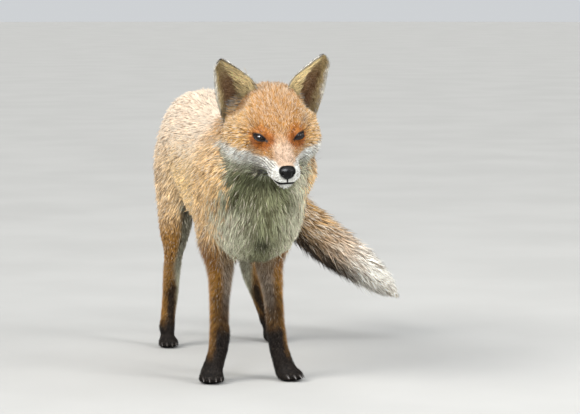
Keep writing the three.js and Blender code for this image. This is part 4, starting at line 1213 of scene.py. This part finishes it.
def skin_material():
    """Short underfur in the coat's own markings, darkened with painted shade beneath the coat, and bare dark skin at
    lids and lips.
    """
    material, tree, shader = new_material("Fox skin")
    if tree is None:
        return material
    coordinates = add(tree, "ShaderNodeTexCoord").outputs["Object"]
    noise = add(tree, "ShaderNodeTexNoise")
    noise.inputs["Scale"].default_value = 900
    noise.inputs["Detail"].default_value = 3
    tree.links.new(coordinates, noise.inputs["Vector"])
    speckle = ranged(tree, noise.outputs["Fac"], 0.3, 0.7, 0.72, 1.12)
    bare = channels(tree, attribute(tree, "bare"))[0]
    grey = add(tree, "ShaderNodeCombineColor")
    for socket in grey.inputs:
        tree.links.new(speckle, socket)
    colour = mix_colour(tree, 1.0, attribute(tree, "tone"), grey.outputs[0], "MULTIPLY")
    tree.links.new(colour, shader.inputs["Base Color"])
    tree.links.new(ranged(tree, bare, 0.3, 0.9, 0.9, 0.5), shader.inputs["Roughness"])
    bump = add(tree, "ShaderNodeBump")
    bump.inputs["Strength"].default_value = 0.35
    bump.inputs["Distance"].default_value = 0.4 * MM
    tree.links.new(noise.outputs["Fac"], bump.inputs["Height"])
    tree.links.new(bump.outputs["Normal"], shader.inputs["Normal"])
    shader.inputs["Specular IOR Level"].default_value = 0.15
    return material


def eye_material():
    """Amber iris with a dark slit and rim, rays, and a wet gloss."""
    material, tree, shader = new_material("Fox eye")
    if tree is None:
        return material
    colours = bpy.context.scene.fox_colours
    u, v, w = channels(tree, attribute(tree, "gaze"))
    u, v = (math_node(tree, "SUBTRACT", s, 0.5) for s in (u, v))
    far = math_node(tree, "SQRT", math_node(tree, "ADD", math_node(tree, "MULTIPLY", u, u), math_node(tree, "MULTIPLY", v, v)))
    angle = math_node(tree, "ARCTAN2", v, u)
    rays = add(tree, "ShaderNodeTexNoise", noise_dimensions="2D")
    rays.inputs["Scale"].default_value = 9
    rays.inputs["Detail"].default_value = 4
    place = add(tree, "ShaderNodeCombineXYZ")
    tree.links.new(angle, place.inputs[0])
    tree.links.new(math_node(tree, "MULTIPLY", far, 0.6), place.inputs[1])
    tree.links.new(place.outputs[0], rays.inputs["Vector"])
    streak = ranged(tree, rays.outputs["Fac"], 0.3, 0.7)
    iris = mix_colour(tree, streak, (*colours.iris_dark,), (*colours.iris,))
    inner = math_node(tree, "SUBTRACT", 1.0, ranged(tree, far, 0.1, 0.26))
    iris = mix_colour(tree, math_node(tree, "MULTIPLY", inner, 0.5), iris, tuple(c * 0.45 for c in colours.iris_dark))
    limbus = ranged(tree, far, 0.26, 0.335)
    iris = mix_colour(tree, limbus, iris, (0.012, 0.008, 0.006))
    slit = math_node(
        tree, "ADD",
        math_node(tree, "POWER", math_node(tree, "MULTIPLY", u, 1 / 0.085), 2.0),
        math_node(tree, "POWER", math_node(tree, "MULTIPLY", v, 1 / 0.20), 2.0),
    )
    pupil = math_node(tree, "SUBTRACT", 1.0, ranged(tree, slit, 0.8, 1.15))
    tree.links.new(mix_colour(tree, pupil, iris, (0.003, 0.003, 0.003)), shader.inputs["Base Color"])
    tree.links.new(ranged(tree, rays.outputs["Fac"], 0.0, 1.0, 0.12, 0.2), shader.inputs["Roughness"])
    shader.inputs["Coat Weight"].default_value = 1.0
    shader.inputs["Coat Roughness"].default_value = 0.03
    shader.inputs["Coat IOR"].default_value = 1.32
    shader.inputs["Specular IOR Level"].default_value = 0.1
    return material


def leather_material():
    """Black, pebbled, moist nose leather."""
    material, tree, shader = new_material("Nose leather")
    if tree is None:
        return material
    coordinates = add(tree, "ShaderNodeTexCoord").outputs["Object"]
    pebbles = add(tree, "ShaderNodeTexVoronoi", feature="DISTANCE_TO_EDGE")
    pebbles.inputs["Scale"].default_value = 1300
    noise = add(tree, "ShaderNodeTexNoise")
    noise.inputs["Scale"].default_value = 260
    tree.links.new(coordinates, pebbles.inputs["Vector"])
    tree.links.new(coordinates, noise.inputs["Vector"])
    height = ranged(tree, pebbles.outputs["Distance"], 0.0, 0.25)
    shade = mix_colour(tree, height, (0.001, 0.001, 0.001), (0.004, 0.0035, 0.0035))
    shade = mix_colour(tree, ranged(tree, noise.outputs["Fac"], 0.4, 0.7, 0.0, 0.6), shade, (0.010, 0.009, 0.008))
    tree.links.new(shade, shader.inputs["Base Color"])
    tree.links.new(ranged(tree, noise.outputs["Fac"], 0.3, 0.7, 0.26, 0.38), shader.inputs["Roughness"])
    shader.inputs["Specular IOR Level"].default_value = 0.15
    bump = add(tree, "ShaderNodeBump")
    bump.inputs["Strength"].default_value = 0.3
    bump.inputs["Distance"].default_value = 0.12 * MM
    tree.links.new(height, bump.inputs["Height"])
    tree.links.new(bump.outputs["Normal"], shader.inputs["Normal"])
    return material


def horn_material():
    """Dark claw horn, a little paler towards the point."""
    material, tree, shader = new_material("Claw horn")
    if tree is None:
        return material
    noise = add(tree, "ShaderNodeTexNoise")
    noise.inputs["Scale"].default_value = 700
    tree.links.new(add(tree, "ShaderNodeTexCoord").outputs["Object"], noise.inputs["Vector"])
    along = channels(tree, attribute(tree, "strand"))[0]
    shade = mix_colour(tree, along, (0.014, 0.011, 0.010), (0.045, 0.034, 0.027))
    shade = mix_colour(tree, ranged(tree, noise.outputs["Fac"], 0.35, 0.65, 0.0, 0.4), shade, (0.03, 0.024, 0.02))
    tree.links.new(shade, shader.inputs["Base Color"])
    tree.links.new(ranged(tree, noise.outputs["Fac"], 0.3, 0.7, 0.28, 0.45), shader.inputs["Roughness"])
    return material


def whisker_material():
    material, tree, shader = new_material("Whisker")
    if tree is None:
        return material
    along = channels(tree, attribute(tree, "strand"))[0]
    tree.links.new(mix_colour(tree, along, (0.012, 0.010, 0.010), (0.06, 0.05, 0.045)), shader.inputs["Base Color"])
    tree.links.new(ranged(tree, along, 0.0, 1.0, 0.3, 0.45), shader.inputs["Roughness"])
    return material


def floor_material():
    material, tree, shader = new_material("Studio floor")
    if tree is None:
        return material
    noise = add(tree, "ShaderNodeTexNoise")
    noise.inputs["Scale"].default_value = 3
    noise.inputs["Detail"].default_value = 6
    tree.links.new(add(tree, "ShaderNodeTexCoord").outputs["Object"], noise.inputs["Vector"])
    shade = mix_colour(tree, ranged(tree, noise.outputs["Fac"], 0.3, 0.7), (0.43, 0.43, 0.42), (0.46, 0.46, 0.45))
    tree.links.new(shade, shader.inputs["Base Color"])
    tree.links.new(ranged(tree, noise.outputs["Fac"], 0.3, 0.7, 0.82, 0.9), shader.inputs["Roughness"])
    return material


# ---------------------------------------------------------------- eyes, nose, claws and whiskers


def sphere(name, corners_to_place, detail):
    """A ball of fine triangles whose unit corners are moved by the given function."""
    bpy.ops.object.select_all(action="DESELECT")
    bpy.ops.mesh.primitive_ico_sphere_add(subdivisions=detail, radius=1)
    obj = bpy.context.view_layer.objects.active
    obj.name = name
    set_corners(obj, corners_to_place(corners_of(obj)))
    bpy.ops.object.shade_smooth()
    return obj


def tubes(name, lines, radii, spokes=6):
    """One mesh of many tapered closed tubes along lines of equally many points."""
    count, steps = lines.shape[:2]
    along = unit(np.gradient(lines, axis=1))
    side = unit(np.cross(along, np.array((0.13, 0.21, 0.97))))
    up = np.cross(side, along)
    angle = np.arange(spokes) * 2 * math.pi / spokes
    ring = side[:, :, None] * np.cos(angle)[:, None] + up[:, :, None] * np.sin(angle)[:, None]
    corners = lines[:, :, None] + ring * radii[:, :, None, None]
    ends = np.stack((lines[:, 0], lines[:, -1] + along[:, -1] * radii[:, -1, None]), 1)
    corners = np.concatenate((corners.reshape(count, -1, 3), ends), 1)
    faces = []
    for i in range(steps - 1):
        for k in range(spokes):
            a, b = i * spokes + k, i * spokes + (k + 1) % spokes
            faces += [(a, b, b + spokes), (a, b + spokes, a + spokes)]
    first, last = steps * spokes, steps * spokes + 1
    for k in range(spokes):
        a, b = k, (k + 1) % spokes
        faces += [(first, b, a), (last, (steps - 1) * spokes + a, (steps - 1) * spokes + b)]
    size = corners.shape[1]
    triangles = (np.array(faces)[None] + (np.arange(count) * size)[:, None, None]).reshape(-1, 3)
    obj = mesh_from(name, corners.reshape(-1, 3), triangles)
    share = np.concatenate((np.repeat(np.linspace(0, 1, steps), spokes), (0, 1)))
    paint(obj, "strand", np.repeat(np.tile(share, count)[:, None], 3, 1))
    use(obj)
    bpy.ops.object.mode_set(mode="EDIT")
    bpy.ops.mesh.select_all(action="SELECT")
    bpy.ops.mesh.normals_make_consistent(inside=False)
    bpy.ops.object.mode_set(mode="OBJECT")
    return obj


class FOX_OT_eyes(bpy.types.Operator):
    """Makes the two eyeballs, each with its cornea, iris and slit pupil"""

    bl_idname = "fox.eyes"
    bl_label = "Eyes"

    def execute(self, context):
        for name, eye in EYES.items():
            axes = np.stack((eye["corner"], eye["lid"], eye["gaze"]))

            def place(unit_corners, eye=eye, axes=axes):
                bulge = 1 + 0.07 * smooth(unit_corners[:, 2], 0.80, 1.0)
                return (unit_corners * bulge[:, None] * eye["radius"] * 0.985) @ axes + eye["middle"]

            ball = sphere(name.replace("eye", "eyeball"), place, 5)
            local = (corners_of(ball) - eye["middle"]) @ axes.T / eye["radius"]
            upright = np.array((local[:, 0], local[:, 1], local[:, 2])).T
            turn = EYE_SLANT
            u = upright[:, 0] * math.cos(turn) - upright[:, 1] * math.sin(turn)
            v = upright[:, 0] * math.sin(turn) + upright[:, 1] * math.cos(turn)
            paint(ball, "gaze", np.stack((u / 2 + 0.5, v / 2 + 0.5, local[:, 2] / 2 + 0.5), 1))
            ball.data.materials.append(eye_material())
            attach(ball, "root")
            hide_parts(name)
        return {"FINISHED"}


NOSE = {"ahead": 72.0, "level": -22.5, "half": 12.6, "depth": 10.5, "height": 10.8}


def nose_corners(p):
    """A rounded wedge of leather with a flat top, a nostril with its slit at each side, and a groove below."""
    side, ahead, up = np.abs(p[:, 0]), -p[:, 1], p[:, 2]
    front = smooth(ahead, 0.0, 0.5)
    narrow = 1 - 0.34 * np.maximum(0, -up)
    boxy = np.sign(p[:, 0]) * side**0.85
    flat = np.where(up > 0, 0.93 * np.maximum(up, 0) ** 0.8, up)
    nostril = np.exp(-(((side - 0.50) / 0.19) ** 2) - ((up + 0.02) / 0.27) ** 2)
    t = np.clip((side - 0.5) / 0.5, 0, 1)
    slit = np.exp(-(((up + 0.10 + 0.26 * t) / 0.085) ** 2)) * smooth(side, 0.45, 0.6)
    wing = 0.07 * np.exp(-(((side - 0.78) / 0.14) ** 2) - ((up - 0.18) / 0.22) ** 2)
    groove = 0.07 * np.exp(-((side / 0.05) ** 2)) * smooth(-up, -0.1, 0.3)
    dent = (0.32 * nostril + 0.16 * slit + groove - 0.5 * wing) * front
    sunk = 1 - 0.16 * slit * front * smooth(side, 0.6, 0.9)
    x = boxy * narrow * sunk * NOSE["half"]
    y = NOSE["ahead"] + (ahead - dent) * NOSE["depth"]
    return head_to_frame(np.stack((x, y, flat * NOSE["height"] + NOSE["level"]), 1))


class FOX_OT_nose(bpy.types.Operator):
    """Makes the nose leather with its nostrils"""

    bl_idname = "fox.nose"
    bl_label = "Nose"

    def execute(self, context):
        nose = sphere("nose_leather", nose_corners, 6)
        nose.data.materials.append(leather_material())
        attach(nose, "root")
        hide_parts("nose")
        return {"FINISHED"}


PAWS = {
    "forepaw_right": (-57.0, 30.0, 6.0, 1.0),
    "forepaw_left": (64.0, 28.0, 18.0, 1.0),
    "hindpaw_right": (-54.0, 420.0, 4.0, 0.88),
    "hindpaw_left": (133.0, 442.0, 16.0, 0.88),
}
TOES = ((-13.5, 10.0), (-5.0, 17.0), (5.0, 17.0), (13.5, 10.0))


class FOX_OT_claws(bpy.types.Operator):
    """Makes the four claws of each paw as curved, pointed horns"""

    bl_idname = "fox.claws"
    bl_label = "Claws"

    def execute(self, context):
        length = context.scene.fox_sizes.claw_length / MM
        t = np.linspace(0, 1, 7)
        bend = np.radians(12 + 30 * t)
        forwards = np.cumsum(np.cos(bend)) / len(t) * length
        down = np.cumsum(np.sin(bend)) / len(t) * length
        lines, radii = [], []
        for x, y, turn, size in PAWS.values():
            angle = math.radians(turn) * np.sign(x)
            for side, ahead in TOES:
                local = np.stack((np.full_like(t, side), -(9.0 + ahead + forwards), 10.5 - down), 1) * size
                turned = local @ np.array(Matrix.Rotation(angle, 3, "Z")).T
                lines.append((turned + (x, y, 0) + ORIGIN) * MM)
                radii.append(2.1 * size * (1 - 0.85 * t**1.5) * MM)
        claws = tubes("claws", np.array(lines), np.array(radii), 8)
        claws.data.materials.append(horn_material())
        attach(claws, "root")
        return {"FINISHED"}


class FOX_OT_whiskers(bpy.types.Operator):
    """Makes the whiskers of the lips and brows, laid back along the cheeks"""

    bl_idname = "fox.whiskers"
    bl_label = "Whiskers"

    def execute(self, context):
        rng = np.random.default_rng(SEED)
        full = context.scene.fox_sizes.whisker_length / MM
        t = np.linspace(0, 1, 9)[:, None]
        lines = []
        for side in (-1, 1):
            for row in range(3):
                for k in range(4):
                    ahead, up = 56 - 6.5 * k + rng.normal(0, 1), -27 - 4.5 * row + rng.normal(0, 0.6)
                    length = full * (0.5 + 0.17 * k) * rng.uniform(0.85, 1.1)
                    start = head_to_frame(np.array((side * 40.0, ahead, up)))
                    axis = head_to_frame(np.array((0.0, ahead - 4, up)))
                    root, _, _, _ = Skin.tree.ray_cast(Vector(start), Vector(axis - start))
                    if root is None:
                        continue
                    out = head_direction(side * 0.95, -0.35 - 0.1 * k, 0.10 - 0.13 * row)
                    sag = head_direction(side * -0.10, -0.75, -0.25)
                    path = np.array(root) + (unit(out) * t + sag * 0.45 * t**2) * length * MM
                    lines.append(path)
            for k in range(3):
                start = head_to_frame(np.array((side * (30.0 + 3 * k), 2.0 - 4 * k, 60.0)))
                root, _, _, _ = Skin.tree.ray_cast(Vector(start), Vector(head_direction(0, 0, -1)))
                if root is not None:
                    out = unit(head_direction(side * 0.5, -0.4, 0.75)) * t - head_direction(0, 0.5, 0) * 0.5 * t**2
                    lines.append(np.array(root) + out * full * 0.42 * MM)
        lines = np.array(lines)
        radii = np.tile((0.26 * (1 - 0.85 * t[:, 0])) * MM, (len(lines), 1))
        whiskers = tubes("whiskers", lines, radii, 4)
        whiskers.data.materials.append(whisker_material())
        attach(whiskers, "root")
        return {"FINISHED"}


# ---------------------------------------------------------------- the coat's pieces


def right(place, info):
    return place.x <= 0


def left(place, info):
    return place.x > 0


class FOX_OT_head_coat(bpy.types.Operator):
    """Grows the short hair of the face and crown and the ruff of the cheeks"""

    bl_idname = "fox.head_coat"
    bl_label = "Coat of the head"

    def execute(self, context):
        share = context.scene.fox_sizes.coat_share
        grow("coat_face", ("muzzle", "face", "lower_jaw"), "coat_russet", kind="hair", share=share, most=32000)
        grow("coat_crown", ("crown",), "coat_russet", kind="hair", share=share, most=24000)
        grow("coat_cheeks", ("cheek",), "coat_white", share=share, most=13000, cling=0.45, wild=1.1, ragged=2)
        return {"FINISHED"}


class FOX_OT_ear_coat(bpy.types.Operator):
    """Grows the velvet of the ears and the long pale hair at their inner edges"""

    bl_idname = "fox.ear_coat"
    bl_label = "Coat of the ears"

    def execute(self, context):
        share = context.scene.fox_sizes.coat_share
        grow("coat_ears", ("ear_back", "ear_front"), "coat_dark", kind="hair", share=share, most=26000)
        grow(
            "ear_hair", ("ear_front",), "coat_white", share=0.9, longer=3.6, cling=0.0, lift=7.0, wild=1.6, tint="ear",
            where=lambda place, info: (info[:, 1] < 0.34) & (info[:, 0] < 0.75) & (info[:, 0] > 0),
        )
        grow(
            "ear_fringe", ("ear_front", "ear_back"), "coat_white", kind="hair", share=1.0, longer=1.2, lift=1.2, tint="cream",
            where=lambda place, info: (info[:, 1] < 0.05) | (info[:, 1] > 0.96),
        )
        return {"FINISHED"}


class FOX_OT_body_coat(bpy.types.Operator):
    """Grows the coat of neck, breast, chest, loin, rump and haunches"""

    bl_idname = "fox.body_coat"
    bl_label = "Coat of the body"

    def execute(self, context):
        share = context.scene.fox_sizes.coat_share
        for name, side in (("right", right), ("left", left)):
            grow(f"coat_neck_{name}", ("neck", "breast"), "coat_white", share=share, most=17000, where=side, lift=1.4, gather=0.6, wild=0.8)
            grow(f"coat_chest_{name}", ("chest",), "coat_buff", share=share, most=9000, where=side, lift=1.2)
            grow(f"coat_loin_{name}", ("loin", "rump"), "coat_buff", share=share, most=14000, where=side)
            grow(f"coat_haunch_{name}", ("haunch",), "coat_buff", share=share, most=10000, where=side)
        grow(
            "coat_bib_fringe", ("breast", "chest", "foreleg"), "coat_white", share=share, most=4000, longer=1.6,
            lift=1.5, wild=2.0, ragged=9,
            where=lambda place, info: (place.z < 242) & (place.z > 205) & (place.y < 30) & (np.abs(place.x) < 62),
        )
        return {"FINISHED"}


class FOX_OT_leg_coat(bpy.types.Operator):
    """Grows the short hair of legs and paws"""

    bl_idname = "fox.leg_coat"
    bl_label = "Coat of the legs"

    def execute(self, context):
        share = context.scene.fox_sizes.coat_share
        grow("coat_forelegs", ("foreleg",), "coat_russet", kind="hair", share=share, most=30000)
        grow("coat_hindlegs", ("hindleg",), "coat_russet", kind="hair", share=share, most=16000)
        grow("coat_paws", ("paw",), "coat_dark", kind="hair", share=share, most=16000)
        return {"FINISHED"}


class FOX_OT_tail_coat(bpy.types.Operator):
    """Grows the long soft coat of the brush"""

    bl_idname = "fox.tail_coat"
    bl_label = "Coat of the tail"

    def execute(self, context):
        share = context.scene.fox_sizes.coat_share
        grow("coat_brush", ("tail_root", "tail_brush"), "coat_buff", share=share, most=17000, cling=0.4, wild=1.4, ragged=4)
        grow("coat_brush_tip", ("tail_tip",), "coat_white", share=share, most=5000, cling=0.4, wild=1.3)
        return {"FINISHED"}


# ---------------------------------------------------------------- stage

# The camera of the pose: place in metres, turn and downward pitch in degrees, lens and sensor in millimetres.
CAMERA = {"place": (-0.95447, -3.98898, 0.63), "turn": -13.0, "down": 5.2, "lens": 158.9, "sensor": 36.0}


def soft_light(name, place, aim, size, power, colour, only_gloss=False):
    """A round panel of light; one for gloss only puts a highlight on eyes and nose and lights nothing else."""
    data = bpy.data.lights.new(name, "AREA")
    data.shape, data.size, data.energy, data.color = "DISK", size, power, colour
    lamp = bpy.data.objects.new(name, data)
    lamp.visible_diffuse = not only_gloss
    lamp.visible_camera = False
    bpy.context.scene.collection.objects.link(lamp)
    lamp.location = place
    lamp.rotation_euler = (Vector(place) - Vector(aim)).to_track_quat("Z", "Y").to_euler()


def far_light(name, source, strength, spread, colour):
    """A sun whose light comes from the given direction, with soft shadows."""
    data = bpy.data.lights.new(name, "SUN")
    data.energy, data.angle, data.color = strength, math.radians(spread), colour
    lamp = bpy.data.objects.new(name, data)
    bpy.context.scene.collection.objects.link(lamp)
    lamp.rotation_euler = Vector(source).to_track_quat("Z", "Y").to_euler()


class FOX_OT_stage(bpy.types.Operator):
    """Lays a plain pale floor and sets soft lights and the camera"""

    bl_idname = "fox.stage"
    bl_label = "Stage"

    def execute(self, context):
        scene = context.scene
        bpy.ops.object.select_all(action="DESELECT")
        bpy.ops.mesh.primitive_circle_add(vertices=96, radius=30, fill_type="NGON")
        floor = context.view_layer.objects.active
        floor.name = "floor"
        floor.data.materials.append(floor_material())
        world = bpy.data.worlds.new("Studio")
        world.use_nodes = True
        tree = world.node_tree
        seen, ambient = tree.nodes["Background"], add(tree, "ShaderNodeBackground")
        seen.inputs["Color"].default_value = (0.62, 0.64, 0.66, 1)
        ambient.inputs["Color"].default_value = (0.94, 0.97, 1.0, 1)
        ambient.inputs["Strength"].default_value = 0.45
        swap = add(tree, "ShaderNodeMixShader")
        tree.links.new(add(tree, "ShaderNodeLightPath").outputs["Is Camera Ray"], swap.inputs[0])
        tree.links.new(ambient.outputs[0], swap.inputs[1])
        tree.links.new(seen.outputs[0], swap.inputs[2])
        tree.links.new(swap.outputs[0], tree.nodes["World Output"].inputs["Surface"])
        scene.world = world
        far_light("Key", (-1.0, -0.35, 0.75), 3.0, 35, (1.0, 0.97, 0.92))
        far_light("Sky", (0.15, -0.3, 1.0), 1.3, 60, (0.97, 0.99, 1.0))
        soft_light("Window", (-1.12, -2.27, 2.13), (-0.12, -0.31, 0.39), 0.85, 20, (1.0, 0.99, 0.97))
        soft_light("Fill", (2.2, -2.4, 1.7), (0.1, 0.1, 0.25), 1.4, 80, (1.0, 0.99, 0.97))
        soft_light("Catch", (-0.72, -1.25, 1.25), (-0.12, -0.31, 0.39), 1.05, 95, (0.93, 0.97, 1.0), only_gloss=True)
        camera = bpy.data.cameras.new("Camera")
        camera.lens, camera.sensor_width = CAMERA["lens"], CAMERA["sensor"]
        camera.clip_start, camera.clip_end = 0.1, 100
        seat = bpy.data.objects.new("Camera", camera)
        scene.collection.objects.link(seat)
        seat.location = CAMERA["place"]
        seat.rotation_euler = (math.radians(90 - CAMERA["down"]), 0, math.radians(CAMERA["turn"]))
        scene.camera = seat
        scene.view_settings.view_transform = "Standard"
        return {"FINISHED"}


# ---------------------------------------------------------------- add-on


def colour(name, value, about):
    return FloatVectorProperty(name=name, description=about, subtype="COLOR", size=3, min=0, max=1, default=value)


class FoxColours(bpy.types.PropertyGroup):
    """Colours of the coat, eyes and bare skin"""

    buff: colour("Buff", (0.74, 0.55, 0.40), "Back and rump")
    gold: colour("Gold", (0.84, 0.57, 0.26), "Flanks")
    russet: colour("Russet", (0.71, 0.45, 0.21), "Shoulders and haunches")
    leg: colour("Leg", (0.42, 0.20, 0.04), "Legs above the stockings")
    white: colour("White", (0.84, 0.84, 0.79), "Cheeks and lips")
    orange: colour("Orange", (0.425, 0.192, 0.038), "Forehead and nape")
    bridge: colour("Bridge", (0.64, 0.45, 0.32), "Bridge of the muzzle")
    rust: colour("Rust", (0.35, 0.105, 0.014), "Round the eyes")
    soot: colour("Soot", (0.014, 0.011, 0.010), "Stockings, paws and backs of the ears")
    brush: colour("Brush", (0.42, 0.27, 0.13), "Sides of the tail")
    # The bib colour is the white fur greyed and tinted olive: painted shade and a painted green cast of reflected
    # light.
    bib: colour("Bib", (0.64, 0.63, 0.46), "Throat, breast and belly")
    cream: colour("Cream", (0.90, 0.86, 0.77), "Tip of the tail")
    ear: colour("Ear", (0.95, 0.74, 0.38), "Hair inside the ears")
    # Hollow: the ear's dark inner skin together with painted shade deep in the cup.
    hollow: colour("Hollow", (0.21, 0.095, 0.05), "Hollow of the ears")
    rim: colour("Rim", (0.005, 0.004, 0.004), "Lips and rims of the eyes")
    tip: colour("Tip", (0.90, 0.80, 0.66), "Pale tips of the guard hair")
    iris: colour("Iris", (0.018, 0.007, 0.003), "Bright rays of the iris")
    iris_dark: colour("Dark iris", (0.010, 0.005, 0.003), "Ground of the iris")


class FoxSizes(bpy.types.PropertyGroup):
    """Sizes of the skin, coat, claws and whiskers"""

    skin_detail: FloatProperty(
        name="Skin detail", description="Size of the skin's faces", default=0.00345, min=0.002, max=0.006, unit="LENGTH"
    )
    coat_depth: FloatProperty(
        name="Coat depth", description="Depth of the coat against its plan", default=1.0, min=0.5, max=1.0
    )
    coat_share: FloatProperty(
        name="Coat density", description="Number of locks against the plan", default=1.0, min=0.1, max=1.5
    )
    claw_length: FloatProperty(
        name="Claw length", description="Length of a claw outside its toe", default=0.0115, min=0.005, unit="LENGTH"
    )
    whisker_length: FloatProperty(
        name="Whisker length", description="Length of the longest whiskers", default=0.062, min=0.02, unit="LENGTH"
    )


OPERATORS = (
    FOX_OT_skin, FOX_OT_eyes, FOX_OT_nose, FOX_OT_claws, FOX_OT_whiskers, FOX_OT_head_coat, FOX_OT_ear_coat,
    FOX_OT_body_coat, FOX_OT_leg_coat, FOX_OT_tail_coat, FOX_OT_stage,
)


class FOX_PT_panel(bpy.types.Panel):
    """Sizes, colours and the steps that build the fox"""

    bl_idname = "FOX_PT_panel"
    bl_label = "Red fox"
    bl_space_type = "VIEW_3D"
    bl_region_type = "UI"
    bl_category = "Fox"

    def draw(self, context):
        layout = self.layout
        for group in (context.scene.fox_sizes, context.scene.fox_colours):
            box = layout.box()
            for name in group.__annotations__:
                box.prop(group, name)
        for operator in OPERATORS:
            layout.operator(operator.bl_idname)


CLASSES = (FoxColours, FoxSizes, *OPERATORS, FOX_PT_panel)


def register():
    for cls in CLASSES:
        bpy.utils.register_class(cls)
    bpy.types.Scene.fox_sizes = PointerProperty(type=FoxSizes)
    bpy.types.Scene.fox_colours = PointerProperty(type=FoxColours)


def unregister():
    del bpy.types.Scene.fox_colours
    del bpy.types.Scene.fox_sizes
    for cls in reversed(CLASSES):
        bpy.utils.unregister_class(cls)


def main():
    register()
    for operator in OPERATORS:
        group, name = operator.bl_idname.split(".")
        getattr(getattr(bpy.ops, group), name)()


if __name__ == "__main__":
    main()
